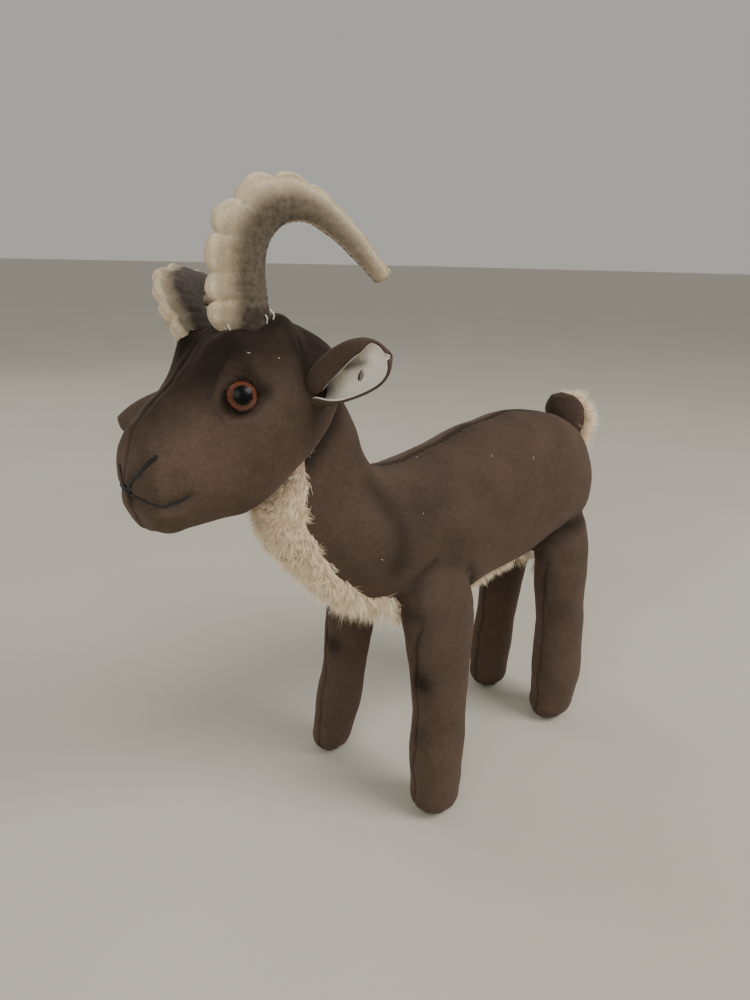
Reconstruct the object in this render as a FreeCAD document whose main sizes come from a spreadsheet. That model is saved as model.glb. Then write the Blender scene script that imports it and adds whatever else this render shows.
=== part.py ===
import FreeCAD, Part
import math
import os

# Stuffed velvet-and-mohair ibex with felt horns, standing, about 162 mm tall.
# +X is the animal's left, -Y is the way it faces, +Z is up; the floor is Z = 0.
# Tables below give distances in mm.  Y values count back from the line between the
# front feet, and the cell "front_line" says where that line lies in the frame.

doc = FreeCAD.newDocument("ibex")
sheet = doc.addObject("Spreadsheet::Sheet", "Dims")
Vector = FreeCAD.Vector

SIZES = {
    "front_line": -9.3,
    "velvet": 1.2,
    "felt": 1.0,
    "packing_gap": 0.2,
    "joint_gap": 1.1,
    "bib_half_width": 8.5,
    "bib_rear_half_width": 4.6,
    "panel_gap": 0.05,
    "front_leg_split": 18.6,
    "rear_leg_split": 12.8,
    "front_crotch": 46.0,
    "rear_crotch": 48.0,
    "wire_radius": 0.8,
    "leg_wire_length": 50.0,
    "eye_radius": 3.25,
    "eye_dome": 2.4,
    "pupil_radius": 1.65,
    "pupil_depth": 0.5,
    "shank_radius": 1.1,
    "shank_wire": 0.3,
    "thread_width": 1.1,
    "thread_rise": 0.5,
    "scallop_radius": 3.1,
    "flange_half": 1.0,
    "horn_strip_half": 2.3,
    "horn_wire_radius": 0.5,
    "clasp_length": 2.4,
    "clasp_width": 1.0,
    "clasp_thickness": 0.4,
}

# Section tables: (x, y, z, tilt of the long axis above +Y in degrees, half width, half length)
TRUNK = [
    (0, -27.0, 118.5, 20, 7.5, 7.6),
    (0, -24.0, 107.5, 20, 9.8, 11.0),
    (0, -21.0, 93.0, 22, 11.0, 14.8),
    (0, -11.6, 86.0, 38, 14.0, 17.6),
    (0, -0.8, 80.3, 58, 16.3, 21.0),
    (0, 14.0, 77.0, 80, 17.3, 23.0),
    (0, 32.0, 80.0, 90, 17.5, 23.3),
    (0, 50.0, 82.0, 90, 17.4, 23.2),
    (0, 65.0, 81.5, 90, 16.3, 21.3),
    (0, 74.5, 81.0, 90, 13.6, 17.8),
    (0, 81.5, 80.5, 90, 8.0, 11.0),
]
HEAD = [
    (0, -67.4, 104.5, 90, 5.4, 5.6),
    (0, -65.9, 104.4, 90, 8.6, 8.8),
    (0, -63.0, 105.0, 90, 10.4, 12.0),
    (0, -57.0, 108.0, 90, 12.2, 15.0),
    (0, -50.0, 112.0, 90, 13.5, 19.0),
    (0, -41.0, 114.6, 90, 14.6, 20.2),
    (0, -32.0, 118.0, 90, 14.2, 17.2),
    (0, -25.0, 120.5, 90, 11.8, 12.6),
    (0, -20.5, 121.5, 90, 7.0, 7.4),
]
LEG_FRONT_LEFT = [
    (19.8, 3.5, 0.0, 0, 3.4, 3.7),
    (19.8, 3.5, 2.5, 0, 5.7, 6.0),
    (19.7, 3.7, 8.0, 0, 6.8, 7.1),
    (19.4, 3.9, 35.0, 0, 7.0, 7.3),
    (17.4, 3.4, 50.0, 0, 7.5, 8.4),
    (14.6, 3.6, 60.0, 0, 7.2, 9.4),
    (10.5, 4.0, 72.0, 0, 5.6, 9.6),
]
LEG_FRONT_RIGHT = [
    (-19.8, -3.5, 0.0, 0, 3.2, 3.4),
    (-19.8, -3.3, 2.5, 0, 5.2, 5.5),
    (-19.5, -2.2, 8.0, 0, 6.2, 6.5),
    (-17.6, 1.0, 34.0, 0, 6.5, 6.8),
    (-16.4, 2.6, 50.0, 0, 7.3, 8.2),
    (-14.0, 3.4, 60.0, 0, 7.0, 9.2),
    (-10.5, 4.0, 72.0, 0, 5.6, 9.6),
]
LEG_REAR_LEFT = [
    (12.9, 64.8, 0.0, 0, 3.3, 3.6),
    (13.1, 65.4, 2.5, 0, 5.8, 6.2),
    (13.4, 66.4, 9.0, 0, 7.0, 7.8),
    (13.1, 66.0, 34.0, 0, 7.3, 8.2),
    (12.3, 65.4, 48.0, 0, 7.5, 9.2),
    (11.0, 66.0, 60.0, 0, 7.0, 10.6),
    (9.0, 66.5, 72.0, 0, 5.6, 9.8),
]
LEG_REAR_RIGHT = [
    (-12.9, 63.7, 0.0, 0, 3.1, 3.4),
    (-12.9, 63.7, 2.5, 0, 5.4, 5.8),
    (-12.9, 63.8, 9.0, 0, 6.4, 7.0),
    (-12.6, 66.0, 34.0, 0, 6.8, 7.6),
    (-12.0, 66.4, 48.0, 0, 7.3, 9.0),
    (-11.0, 66.3, 60.0, 0, 7.0, 10.6),
    (-9.0, 66.5, 72.0, 0, 5.6, 9.8),
]
TAIL = [
    (0, 78.5, 88.0, 0, 3.0, 3.4),
    (0, 79.5, 94.0, 0, 4.4, 5.0),
    (0, 80.3, 99.0, 0, 5.4, 6.4),
    (0, 79.3, 104.0, 0, 4.9, 5.8),
    (0, 77.6, 107.6, 0, 2.8, 3.2),
]

# Horn tables, in the horn's own upright plane: (distance back, height above the root,
# direction of travel above "back" in degrees, half depth, half width)
HORN_LEFT = [
    (1.0, -4.0, 92, 4.9, 4.2),
    (0.0, 5.0, 93, 4.9, 4.2),
    (-0.2, 12.0, 84, 4.9, 4.0),
    (1.5, 19.0, 62, 4.8, 3.8),
    (6.6, 24.0, 26, 4.6, 3.5),
    (12.8, 24.2, -17, 4.0, 3.2),
    (19.0, 20.6, -38, 3.3, 2.8),
    (25.0, 15.3, -47, 2.6, 2.3),
    (30.0, 9.5, -52, 1.9, 1.7),
]
HORN_RIGHT = [
    (-1.3, -4.1, 77, 4.9, 4.2),
    (1.1, 4.6, 68, 4.9, 4.2),
    (4.6, 10.7, 48, 4.9, 4.0),
    (10.7, 15.1, 18, 4.8, 3.8),
    (18.6, 15.4, -18, 4.5, 3.5),
    (23.8, 11.8, -49, 4.0, 3.2),
    (26.4, 6.4, -67, 3.3, 2.8),
    (28.4, 0.6, -71, 2.6, 2.3),
    (30.2, -4.8, -71, 1.9, 1.7),
]
# yaw turns a horn about the upright through its root, and lean tips it over sideways first.
HORNS = {
    "left": {
        "table": HORN_LEFT, "root": (6.0, -43.0, 133.0), "yaw": -15.0, "lean": 0.0, "scallops": 7, "split": (0.0, 0.05)
    },
    "right": {
        "table": HORN_RIGHT, "root": (-6.3, -45.0, 128.8), "yaw": 34.6, "lean": -47.8, "scallops": 7, "split": (0.05, 0.05)
    },
}

# Ears: base and tip centres, and the way the lined opening faces.
EARS = {
    "left": {"base": (12.0, -30.6, 123.2), "tip": (32.0, -29.2, 128.2), "opening": (0.25, -0.95, 0.1)},
    "right": {"base": (-12.6, -38.0, 119.2), "tip": (-31.6, -56.0, 109.2), "opening": (-0.2, -0.35, -0.9)},
}
EAR_SHAPE = [(0.0, 4.2, 2.1), (0.25, 5.3, 2.3), (0.55, 6.1, 2.0), (0.84, 4.7, 1.5), (1.0, 2.2, 0.9)]

EYES = {
    "left": {"centre": (12.6, -48.6, 121.2), "axis": (0.88, -0.38, 0.28)},
    "right": {"centre": (-12.6, -48.6, 121.2), "axis": (-0.88, -0.38, 0.28)},
}

# ---- the sheet ----------------------------------------------------------------------

row_count = 0


def cell(alias, value):
    global row_count
    row_count += 1
    sheet.set("A%d" % row_count, alias)
    sheet.set("B%d" % row_count, repr(float(value)))
    sheet.setAlias("B%d" % row_count, alias)


def table_cells(name, table):
    for number, (x, y, z, tilt, half_width, half_length) in enumerate(table, 1):
        cell("%s_x%d" % (name, number), x)
        cell("%s_y%d" % (name, number), y)
        cell("%s_z%d" % (name, number), z)
        cell("%s_width%d" % (name, number), half_width)
        cell("%s_length%d" % (name, number), half_length)


FORMS = {
    "trunk": TRUNK,
    "head": HEAD,
    "leg_front_left": LEG_FRONT_LEFT,
    "leg_front_right": LEG_FRONT_RIGHT,
    "leg_rear_left": LEG_REAR_LEFT,
    "leg_rear_right": LEG_REAR_RIGHT,
    "tail": TAIL,
}
for alias, value in SIZES.items():
    cell(alias, value)
for form_name, form_table in FORMS.items():
    table_cells(form_name, form_table)
for side, horn in HORNS.items():
    for number, (back, rise, travel, half_depth, half_width) in enumerate(horn["table"], 1):
        cell("horn_%s_back%d" % (side, number), back)
        cell("horn_%s_rise%d" % (side, number), rise)
        cell("horn_%s_depth%d" % (side, number), half_depth)
        cell("horn_%s_width%d" % (side, number), half_width)
    for axis, value in zip("xyz", horn["root"]):
        cell("horn_%s_root_%s" % (side, axis), value)
for number, (along, half_width, half_thick) in enumerate(EAR_SHAPE, 1):
    cell("ear_width%d" % number, half_width)
    cell("ear_thick%d" % number, half_thick)
for side, ear in EARS.items():
    for axis, low, high in zip("xyz", ear["base"], ear["tip"]):
        cell("ear_%s_base_%s" % (side, axis), low)
        cell("ear_%s_tip_%s" % (side, axis), high)
for side, eye in EYES.items():
    for axis, value in zip("xyz", eye["centre"]):
        cell("eye_%s_%s" % (side, axis), value)
doc.recompute()

FRONT = SIZES["front_line"]

# ---- helpers ------------------------------------------------------------------------


def bind(obj, prop, expression):
    obj.setExpression(prop, expression)


def new(kind, name, **links):
    obj = doc.addObject(kind, name)
    for prop, value in links.items():
        setattr(obj, prop, value)
    if hasattr(obj, "Refine"):
        obj.Refine = False
    return obj


def fuse(name, shapes):
    return new("Part::MultiFuse", name, Shapes=shapes)


def common(name, shapes):
    return new("Part::MultiCommon", name, Shapes=shapes)


def cut(name, base, tool):
    return new("Part::Cut", name, Base=base, Tool=tool)


def loft(name, sections, ruled=False):
    return new("Part::Loft", name, Sections=sections, Solid=True, Ruled=ruled)


def ellipse(name, placement, major, minor):
    section = doc.addObject("Part::Ellipse", name)
    section.Placement = placement
    bind(section, "MajorRadius", major)
    bind(section, "MinorRadius", minor)
    return section


def box(name, low, high):
    block = doc.addObject("Part::Box", name)
    block.Length = high[0] - low[0]
    block.Width = high[1] - low[1]
    block.Height = high[2] - low[2]
    block.Placement.Base = Vector(*low)
    return block


def frame_point(point):
    return Vector(point[0], point[1] + FRONT, point[2])


def form(tag, table_name, inset, shorten=0):
    """A loft through a form's ellipses, every one taken in by `inset` (an expression)."""
    table = FORMS[table_name]
    last = len(table)
    sections = []
    for number, (x, y, z, tilt, half_width, half_length) in enumerate(table, 1):
        step = 0
        if number == 1:
            step = 1
        if number == last:
            step = -1
        rotation = FreeCAD.Rotation(90, -tilt, 0)
        along_y = abs(math.sin(math.radians(tilt)))
        along_z = math.cos(math.radians(tilt))
        if table_name == "trunk":
            along_z = -along_z
        section = ellipse(
            "%s_%d" % (tag, number),
            FreeCAD.Placement(Vector(0, 0, 0), rotation),
            "Dims.%s_length%d - (%s)" % (table_name, number, inset),
            "Dims.%s_width%d - (%s)" % (table_name, number, inset),
        )
        bind(section, "Placement.Base.x", "Dims.%s_x%d" % (table_name, number))
        bind(
            section,
            "Placement.Base.y",
            "Dims.front_line + Dims.%s_y%d + %.5f * (%s)" % (table_name, number, step * along_y, inset),
        )
        bind(
            section,
            "Placement.Base.z",
            "Dims.%s_z%d + %.5f * (%s)" % (table_name, number, step * along_z, inset),
        )
        sections.append(section)
    return loft(tag, sections)


parts = []


def part(obj, label):
    obj.Label = label
    parts.append(obj)
    return obj


# ---- the stuffed skin ---------------------------------------------------------------

LEGS = ["leg_front_left", "leg_front_right", "leg_rear_left", "leg_rear_right"]
PACKED = "Dims.velvet + Dims.packing_gap"

trunk_outer = form("trunk_outer", "trunk", "0")
trunk_inner = form("trunk_inner", "trunk", "Dims.velvet")
trunk_packed = form("trunk_packed", "trunk", PACKED)
trunk_clear = form("trunk_clear", "trunk", "-Dims.joint_gap")
head_outer = form("head_outer", "head", "0")
head_inner = form("head_inner", "head", "Dims.velvet")
head_packed = form("head_packed", "head", PACKED)
head_clear = form("head_clear", "head", "-Dims.joint_gap")
head_sewn = form("head_sewn", "head", "-0.05")
leg_outer = {leg: form(leg + "_outer", leg, "0") for leg in LEGS}
leg_inner = {leg: form(leg + "_inner", leg, "Dims.velvet") for leg in LEGS}
leg_packed = {leg: form(leg + "_packed", leg, PACKED) for leg in LEGS}

skin_outer = fuse("skin_outer", [trunk_outer] + list(leg_outer.values()))
skin_inner = fuse("skin_inner", [trunk_inner] + list(leg_inner.values()))
skin_whole = cut("skin_whole", skin_outer, skin_inner)
skin = cut("skin", skin_whole, head_sewn)


# ---- panels: how the skin is cut up and sewn ------------------------------------------

FAR = 200.0
left_half = box("left_half", (SIZES["panel_gap"], -FAR, -FAR), (FAR, FAR, FAR))
right_half = box("right_half", (-FAR, -FAR, -FAR), (-SIZES["panel_gap"], FAR, FAR))


def slab(name, outline, half_width_alias):
    """A flat prism across the middle of the animal, from (y, z) corners."""
    corners = [Vector(0, y + FRONT, z) for y, z in outline]
    loop = new("Part::Polygon", name + "_outline", Nodes=corners, Close=True)
    prism = doc.addObject("Part::Extrusion", name)
    prism.Base = loop
    prism.DirMode = "Custom"
    prism.Dir = Vector(1, 0, 0)
    prism.Solid = True
    bind(prism, "LengthFwd", "Dims." + half_width_alias)
    bind(prism, "LengthRev", "Dims." + half_width_alias)
    return prism


BIB_FRONT = [(-60, 124), (-32, 124), (-22, 96), (-14, 84), (-4, 74), (10, 66), (45, 66), (45, 30), (-60, 30)]
BIB_REAR = [(44.9, 68), (70, 70), (76, 84), (100, 88), (100, 30), (44.9, 30)]
bib_zone = fuse(
    "bib_zone",
    [slab("bib_front", BIB_FRONT, "bib_half_width"), slab("bib_rear", BIB_REAR, "bib_rear_half_width")],
)
gusset = part(common("gusset", [skin, bib_zone]), "bib_belly_gusset")

leg_zones = {
    "leg_front_left": box("zone_front_left", (3, FRONT - 14, -5), (SIZES["front_leg_split"], FRONT + 20, SIZES["front_crotch"])),
    "leg_front_right": box("zone_front_right", (-SIZES["front_leg_split"], FRONT - 14, -5), (-3, FRONT + 20, SIZES["front_crotch"])),
    "leg_rear_left": box("zone_rear_left", (1, FRONT + 45, -5), (SIZES["rear_leg_split"], FRONT + 85, SIZES["rear_crotch"])),
    "leg_rear_right": box("zone_rear_right", (-SIZES["rear_leg_split"], FRONT + 45, -5), (-1, FRONT + 85, SIZES["rear_crotch"])),
}
for leg, zone in leg_zones.items():
    part(common(leg + "_inner_panel", [skin, zone]), leg.replace("leg_", "leg_inner_"))

for side, half in (("left", left_half), ("right", right_half)):
    near = [leg_zones["leg_front_" + side], leg_zones["leg_rear_" + side]]
    others = fuse("not_side_" + side, [bib_zone] + near)
    half_skin = common("half_skin_" + side, [skin, half])
    part(cut("side_" + side, half_skin, others), "body_side_" + side)

# ---- stuffing and leg wires -----------------------------------------------------------

WIRES = {
    "leg_front_left": ((19.8, 3.8, 5.0), (16.6, 3.8, 55.0)),
    "leg_front_right": ((-19.6, -2.4, 5.0), (-16.0, 2.8, 55.0)),
    "leg_rear_left": ((13.2, 66.0, 5.0), (11.8, 66.0, 55.0)),
    "leg_rear_right": ((-12.9, 63.8, 5.0), (-11.6, 66.2, 55.0)),
}


def rod(name, low, high, radius, height):
    """A round rod from one point towards another, its sizes bound to the sheet."""
    bar = doc.addObject("Part::Cylinder", name)
    direction = Vector(*high) - Vector(*low)
    bar.Placement = FreeCAD.Placement(frame_point(low), FreeCAD.Rotation(Vector(0, 0, 1), direction))
    bind(bar, "Radius", radius)
    bind(bar, "Height", height)
    return bar


leg_wires = {}
for leg, (low, high) in WIRES.items():
    leg_wires[leg] = part(rod(leg + "_rod", low, high, "Dims.wire_radius", "Dims.leg_wire_length"), leg.replace("leg_", "leg_wire_"))
    around = fuse(leg + "_around", [trunk_outer, leg_wires[leg]])
    part(cut(leg + "_fill", leg_packed[leg], around), leg.replace("leg_", "leg_stuffing_"))
trunk_voids = fuse("trunk_voids", [head_sewn] + list(leg_wires.values()))
part(cut("trunk_fill", trunk_packed, trunk_voids), "body_stuffing")

# ---- eyes: a glass dome with a black pupil behind it, on a sewn-in wire loop ------------


def on_axis(kind, name, side, height, **sizes):
    """A Part primitive standing on an eye's axis, `height` above the eye's centre."""
    eye = EYES[side]
    axis = Vector(*eye["axis"]).normalize()
    solid = doc.addObject(kind, name)
    solid.Placement = FreeCAD.Placement(Vector(0, 0, 0), FreeCAD.Rotation(Vector(0, 0, 1), axis))
    for letter, component in zip("xyz", axis):
        line = " + Dims.front_line" if letter == "y" else ""
        bind(solid, "Placement.Base." + letter, "Dims.eye_%s_%s%s + %.5f * (%s)" % (side, letter, line, component, height))
    for prop, expression in sizes.items():
        bind(solid, prop, expression)
    return solid


sockets = []
for side in EYES:
    ball = on_axis("Part::Sphere", "eye_ball_" + side, side, "-1.0", Radius="Dims.eye_dome + 1.0")
    rim = on_axis("Part::Cylinder", "eye_rim_" + side, side, "-0.6", Radius="Dims.eye_radius", Height="4")
    dome = common("eye_dome_" + side, [ball, rim])
    seat = on_axis("Part::Cylinder", "pupil_seat_" + side, side, "-0.7", Radius="Dims.pupil_radius + 0.05", Height="Dims.pupil_depth + 0.1")
    part(cut("eye_cut_" + side, dome, seat), "eye_glass_" + side)
    pupil = on_axis("Part::Cylinder", "pupil_" + side, side, "-0.6", Radius="Dims.pupil_radius", Height="Dims.pupil_depth - 0.05")
    part(pupil, "eye_pupil_" + side)
    loop = on_axis("Part::Torus", "shank_" + side, side, "-0.65 - Dims.shank_radius - Dims.shank_wire", Radius1="Dims.shank_radius", Radius2="Dims.shank_wire")
    loop.Placement.Rotation = loop.Placement.Rotation * FreeCAD.Rotation(Vector(1, 0, 0), 90)
    part(loop, "eye_shank_" + side)
    pocket = on_axis("Part::Cylinder", "pocket_" + side, side, "-0.65", Radius="Dims.eye_radius + 0.15", Height="6")
    channel = on_axis("Part::Cylinder", "channel_" + side, side, "-3.8", Radius="Dims.shank_radius + 0.5", Height="3.5")
    sockets += [pocket, channel]
eye_sockets = fuse("eye_sockets", sockets)

# ---- head -------------------------------------------------------------------------------

head_shell = cut("head_shell", head_outer, fuse("head_hollow", [head_inner, eye_sockets]))
part(common("head_left", [head_shell, left_half]), "head_side_left")
part(common("head_right", [head_shell, right_half]), "head_side_right")
part(cut("head_fill", head_packed, eye_sockets), "head_stuffing")

# ---- embroidery and the closing seam ------------------------------------------------------

thread_layer = cut("thread_layer", form("head_raised", "head", "-Dims.thread_rise"), form("head_skin", "head", "-0.04"))
half_thread = SIZES["thread_width"] / 2
front_y = FRONT - 80
mouth_line = box("mouth_line", (-14, front_y, 102.0 - half_thread), (14, FRONT - 59.5, 102.0 + half_thread))
chin_line = box("chin_line", (-half_thread, front_y, 97.4), (half_thread, FRONT - 62, 103.0))
nostrils = []
for side, lean in (("left", 1), ("right", -1)):
    line = box("nostril_" + side, (0, 0, 0), (11.0, 20, SIZES["thread_width"]))
    line.Placement = FreeCAD.Placement(
        Vector(0, front_y, 102.0), FreeCAD.Rotation(Vector(0, 1, 0), -90 + lean * 43)
    )
    nostrils.append(line)
thread_zone = fuse("thread_zone", [mouth_line, chin_line] + nostrils)
part(common("embroidery", [thread_layer, thread_zone]), "nose_mouth_thread")

seam_layer = cut("seam_layer", form("trunk_raised", "trunk", "-Dims.thread_rise"), form("trunk_skin", "trunk", "-0.04"))
seam_zone = box("seam_zone", (-half_thread, FRONT - 4, 88), (half_thread, FRONT + 70, 120))
part(common("closing_seam", [seam_layer, seam_zone]), "back_seam_thread")

# ---- tail ---------------------------------------------------------------------------------

tail_outer = form("tail_outer", "tail", "0")
tail_inner = form("tail_inner", "tail", "Dims.velvet")
tail_packed = form("tail_packed", "tail", PACKED)
TAIL_MIDDLE = FRONT + 79.4
tail_front = box("tail_front", (-20, FRONT + 60, 80), (20, TAIL_MIDDLE, 120))
tail_back = box("tail_back", (-20, TAIL_MIDDLE, 80), (20, FRONT + 100, 120))
for label, other_half in (("tail_velvet", tail_back), ("tail_mohair", tail_front)):
    half = cut(label + "_half", tail_outer, other_half)
    half_skin = cut(label + "_skin", half, tail_inner)
    part(cut(label + "_cut", half_skin, trunk_clear), label)
part(cut("tail_fill", tail_packed, trunk_clear), "tail_stuffing")

# ---- ears ---------------------------------------------------------------------------------

for side, ear in EARS.items():
    base = frame_point(ear["base"])
    length_vector = frame_point(ear["tip"]) - base
    along = Vector(length_vector).normalize()
    opening = Vector(*ear["opening"])
    opening = (opening - along * opening.dot(along)).normalize()
    across = opening.cross(along)
    turn = FreeCAD.Rotation(across, opening, along, "ZYX")
    sections = []
    for number, (fraction, half_width, half_thick) in enumerate(EAR_SHAPE, 1):
        section = ellipse(
            "ear_%s_%d" % (side, number),
            FreeCAD.Placement(Vector(0, 0, 0), turn),
            "Dims.ear_width%d" % number,
            "Dims.ear_thick%d" % number,
        )
        for letter in "xyz":
            line = " + Dims.front_line" if letter == "y" else ""
            low = "Dims.ear_%s_base_%s" % (side, letter)
            high = "Dims.ear_%s_tip_%s" % (side, letter)
            bind(section, "Placement.Base." + letter, "%s + %.3f * (%s - %s)%s" % (low, fraction, high, low, line))
        sections.append(section)
    flap = loft("ear_flap_" + side, sections)
    flap_clear = cut("ear_clear_" + side, flap, head_clear)
    front = box("ear_front_" + side, (0, 0, 0), (40, 20, 60))
    back = box("ear_back_" + side, (0, 0, 0), (40, 20, 60))
    gap = SIZES["panel_gap"]
    front.Placement = FreeCAD.Placement(base - across * 20 + opening * gap - along * 20, turn)
    back.Placement = FreeCAD.Placement(base - across * 20 - opening * (20 + gap) - along * 20, turn)
    part(common("ear_lining_cut_" + side, [flap_clear, front]), "ear_lining_" + side)
    part(common("ear_velvet_cut_" + side, [flap_clear, back]), "ear_velvet_" + side)
    if side == "left":
        clasp = doc.addObject("Part::Box", "clasp")
        bind(clasp, "Length", "Dims.clasp_width")
        bind(clasp, "Width", "Dims.clasp_thickness")
        bind(clasp, "Height", "Dims.clasp_length")
        clasp.Placement = FreeCAD.Placement(base + along * 11.5 - across * 0.5 + opening * 2.15, turn)
        part(clasp, "ear_clasp_left")

# ---- horns --------------------------------------------------------------------------------


def along_path(table, distance):
    """The point a distance along a horn's middle line: (back, rise, travel, half depth)."""
    for here, there in zip(table, table[1:]):
        step = math.hypot(there[0] - here[0], there[1] - here[1])
        if distance <= step:
            share = distance / step
            return [a + (b - a) * share for a, b in zip(here[:4], there[:4])]
        distance -= step
    return list(table[-1][:4])


for side, horn in HORNS.items():
    table = horn["table"]
    spin = FreeCAD.Rotation(Vector(0, 0, 1), horn["yaw"]).multiply(FreeCAD.Rotation(Vector(0, 1, 0), horn["lean"]))
    backward = spin.multVec(Vector(0, 1, 0))
    upward = spin.multVec(Vector(0, 0, 1))
    root = frame_point(horn["root"])

    def horn_section(name, number, offset, major, minor, sideways):
        """One section across the horn, `offset` towards its convex edge."""
        travel = math.radians(table[number - 1][2])
        convex = Vector(0, -math.sin(travel), math.cos(travel))
        flat = Vector(1, 0, 0)
        run = Vector(0, math.cos(travel), math.sin(travel))
        if sideways:
            local = FreeCAD.Rotation(flat, convex * -1, run, "ZXY")
        else:
            local = FreeCAD.Rotation(convex, flat, run, "ZXY")
        section = ellipse(name, FreeCAD.Placement(Vector(0, 0, 0), spin * local), major, minor)
        back = "(Dims.horn_%s_back%d + %.5f * (%s))" % (side, number, convex.y, offset)
        rise = "Dims.horn_%s_rise%d + %.5f * (%s)" % (side, number, convex.z, offset)
        for axis in "xyz":
            line = "Dims.front_line + " if axis == "y" else ""
            along = (getattr(backward, axis), back, getattr(upward, axis), rise)
            place = "%sDims.horn_%s_root_%s + %.5f * %s + %.5f * (%s)" % ((line, side, axis) + along)
            bind(section, "Placement.Base." + axis, place)
        return section

    def horn_loft(tag, inset, first=1):
        sections = []
        for number in range(first, len(table) + 1):
            depth = "Dims.horn_%s_depth%d - (%s)" % (side, number, inset)
            width = "Dims.horn_%s_width%d - (%s)" % (side, number, inset)
            sections.append(horn_section("%s_%s_%d" % (tag, side, number), number, "0", depth, width, False))
        return loft("%s_%s" % (tag, side), sections)

    body = horn_loft("horn_outer", "0")
    hollow = horn_loft("horn_inner", "Dims.felt")
    packed = horn_loft("horn_packed", "Dims.felt + Dims.packing_gap")
    strip_sections = []
    for number in range(3, len(table) + 1):
        offset = "-Dims.horn_%s_depth%d" % (side, number)
        taper = "Dims.horn_%s_width%d / Dims.horn_%s_width3" % (side, number, side)
        half = "Dims.horn_strip_half * " + taper
        deep = "Dims.felt * 1.2 * " + taper
        strip_sections.append(horn_section("strip_%s_%d" % (side, number), number, offset, half, deep, True))
    strip_zone = loft("strip_zone_" + side, strip_sections)

    wire_sections = []
    for number in range(2, len(table)):
        wire_sections.append(
            horn_section("wire_%s_%d" % (side, number), number, "0", "Dims.horn_wire_radius", "Dims.horn_wire_radius", False)
        )
    wire = part(loft("horn_core_" + side, wire_sections, ruled=True), "horn_wire_" + side)

    scallops = []
    for number in range(horn["scallops"]):
        back, rise, travel, half_depth = along_path(table, 8.0 + 4.6 * number)
        travel = math.radians(travel)
        disc = doc.addObject("Part::Cylinder", "scallop_%s_%d" % (side, number + 1))
        bind(disc, "Radius", "Dims.scallop_radius")
        bind(disc, "Height", "2 * Dims.flange_half")
        reach = half_depth - 1.0
        centre = Vector(-SIZES["flange_half"], back - reach * math.sin(travel), rise + reach * math.cos(travel))
        disc.Placement = FreeCAD.Placement(
            root + spin.multVec(centre), spin * FreeCAD.Rotation(Vector(0, 0, 1), Vector(1, 0, 0))
        )
        scallops.append(disc)
    horn_whole = fuse("horn_whole_" + side, [body] + scallops)
    felt_void = fuse("felt_void_" + side, [hollow, strip_zone, head_clear])
    felt = cut("felt_" + side, horn_whole, felt_void)
    plus_gap, minus_gap = horn["split"]
    for name, low in (("plus", plus_gap), ("minus", -60 - minus_gap)):
        half = box("horn_%s_half_%s" % (name, side), (0, 0, 0), (60, 120, 120))
        half.Placement = FreeCAD.Placement(root + spin.multVec(Vector(low, -60, -60)), spin)
        outward = (name == "plus") == (side == "left")
        label = "horn_outer_felt_" if outward else "horn_inner_felt_"
        part(common("felt_%s_%s" % (name, side), [felt, half]), label + side)
    strip_shell = cut("strip_shell_" + side, body, fuse("strip_void_" + side, [hollow, head_clear]))
    part(common("strip_" + side, [strip_shell, strip_zone]), "horn_underside_" + side)
    fill_void = fuse("horn_fill_void_" + side, [wire, head_clear])
    part(cut("horn_fill_" + side, packed, fill_void), "horn_stuffing_" + side)

    stitches = []
    for number, (across, back) in enumerate(((4.9, 0.5), (-4.9, 0.5), (4.5, -2.6)), 1):
        stitch = doc.addObject("Part::Cylinder", "stitch_%s_%d" % (side, number))
        stitch.Radius = 0.3
        stitch.Height = 3.0
        stitch.Placement = FreeCAD.Placement(root + spin.multVec(Vector(across, back, 4.0)), spin)
        stitches.append(stitch)
    part(fuse("stitches_" + side, stitches), "horn_stitches_" + side)

# ---- check everything, then write one STEP file per sub-part --------------------------------

doc.recompute()
for obj in doc.Objects:
    if "Invalid" in obj.State or "Error" in obj.State:
        raise RuntimeError("%s did not compute: %s" % (obj.Label, obj.State))
os.makedirs("parts", exist_ok=True)
for obj in parts:
    shape = obj.Shape
    if shape.isNull() or not shape.isValid() or not shape.Solids:
        raise RuntimeError("%s has no valid solid" % obj.Label)
    shape.exportStep("parts/%s.step" % obj.Label)
    print("%-28s solids %d volume %9.2f" % (obj.Label, len(shape.Solids), shape.Volume))
print(len(parts), "sub-parts")
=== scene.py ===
import math

import bmesh
import bpy
import numpy as np
from mathutils import Matrix, Vector
from mathutils.bvhtree import BVHTree


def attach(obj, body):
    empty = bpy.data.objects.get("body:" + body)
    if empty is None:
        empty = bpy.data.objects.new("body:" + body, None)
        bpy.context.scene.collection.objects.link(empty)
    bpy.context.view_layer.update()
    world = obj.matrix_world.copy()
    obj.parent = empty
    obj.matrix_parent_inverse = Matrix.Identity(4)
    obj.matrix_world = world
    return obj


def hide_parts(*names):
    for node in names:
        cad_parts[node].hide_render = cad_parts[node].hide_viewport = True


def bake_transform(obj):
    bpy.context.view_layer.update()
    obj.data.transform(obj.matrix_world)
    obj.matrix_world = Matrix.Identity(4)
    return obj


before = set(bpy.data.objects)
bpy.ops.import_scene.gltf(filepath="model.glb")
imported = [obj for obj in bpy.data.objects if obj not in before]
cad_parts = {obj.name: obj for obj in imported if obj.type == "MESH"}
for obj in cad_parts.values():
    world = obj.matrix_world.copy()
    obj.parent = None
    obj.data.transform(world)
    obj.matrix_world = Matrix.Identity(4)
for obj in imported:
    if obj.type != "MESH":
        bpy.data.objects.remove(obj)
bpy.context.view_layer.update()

# Looks for a stuffed velvet ibex.  Shapes are worked out in millimetres with y counted
# back from the line of the front feet; mesh_object() turns them into metres in the row
# frame, where the animal faces -Y, its left is +X and the floor is Z = 0.

MM = 0.001
FRONT_LINE = np.array([0.0, -9.3, 0.0])
ANIMAL = "animal"

# ---- section tables: x, y, z, tilt, half width, half length ----


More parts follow.
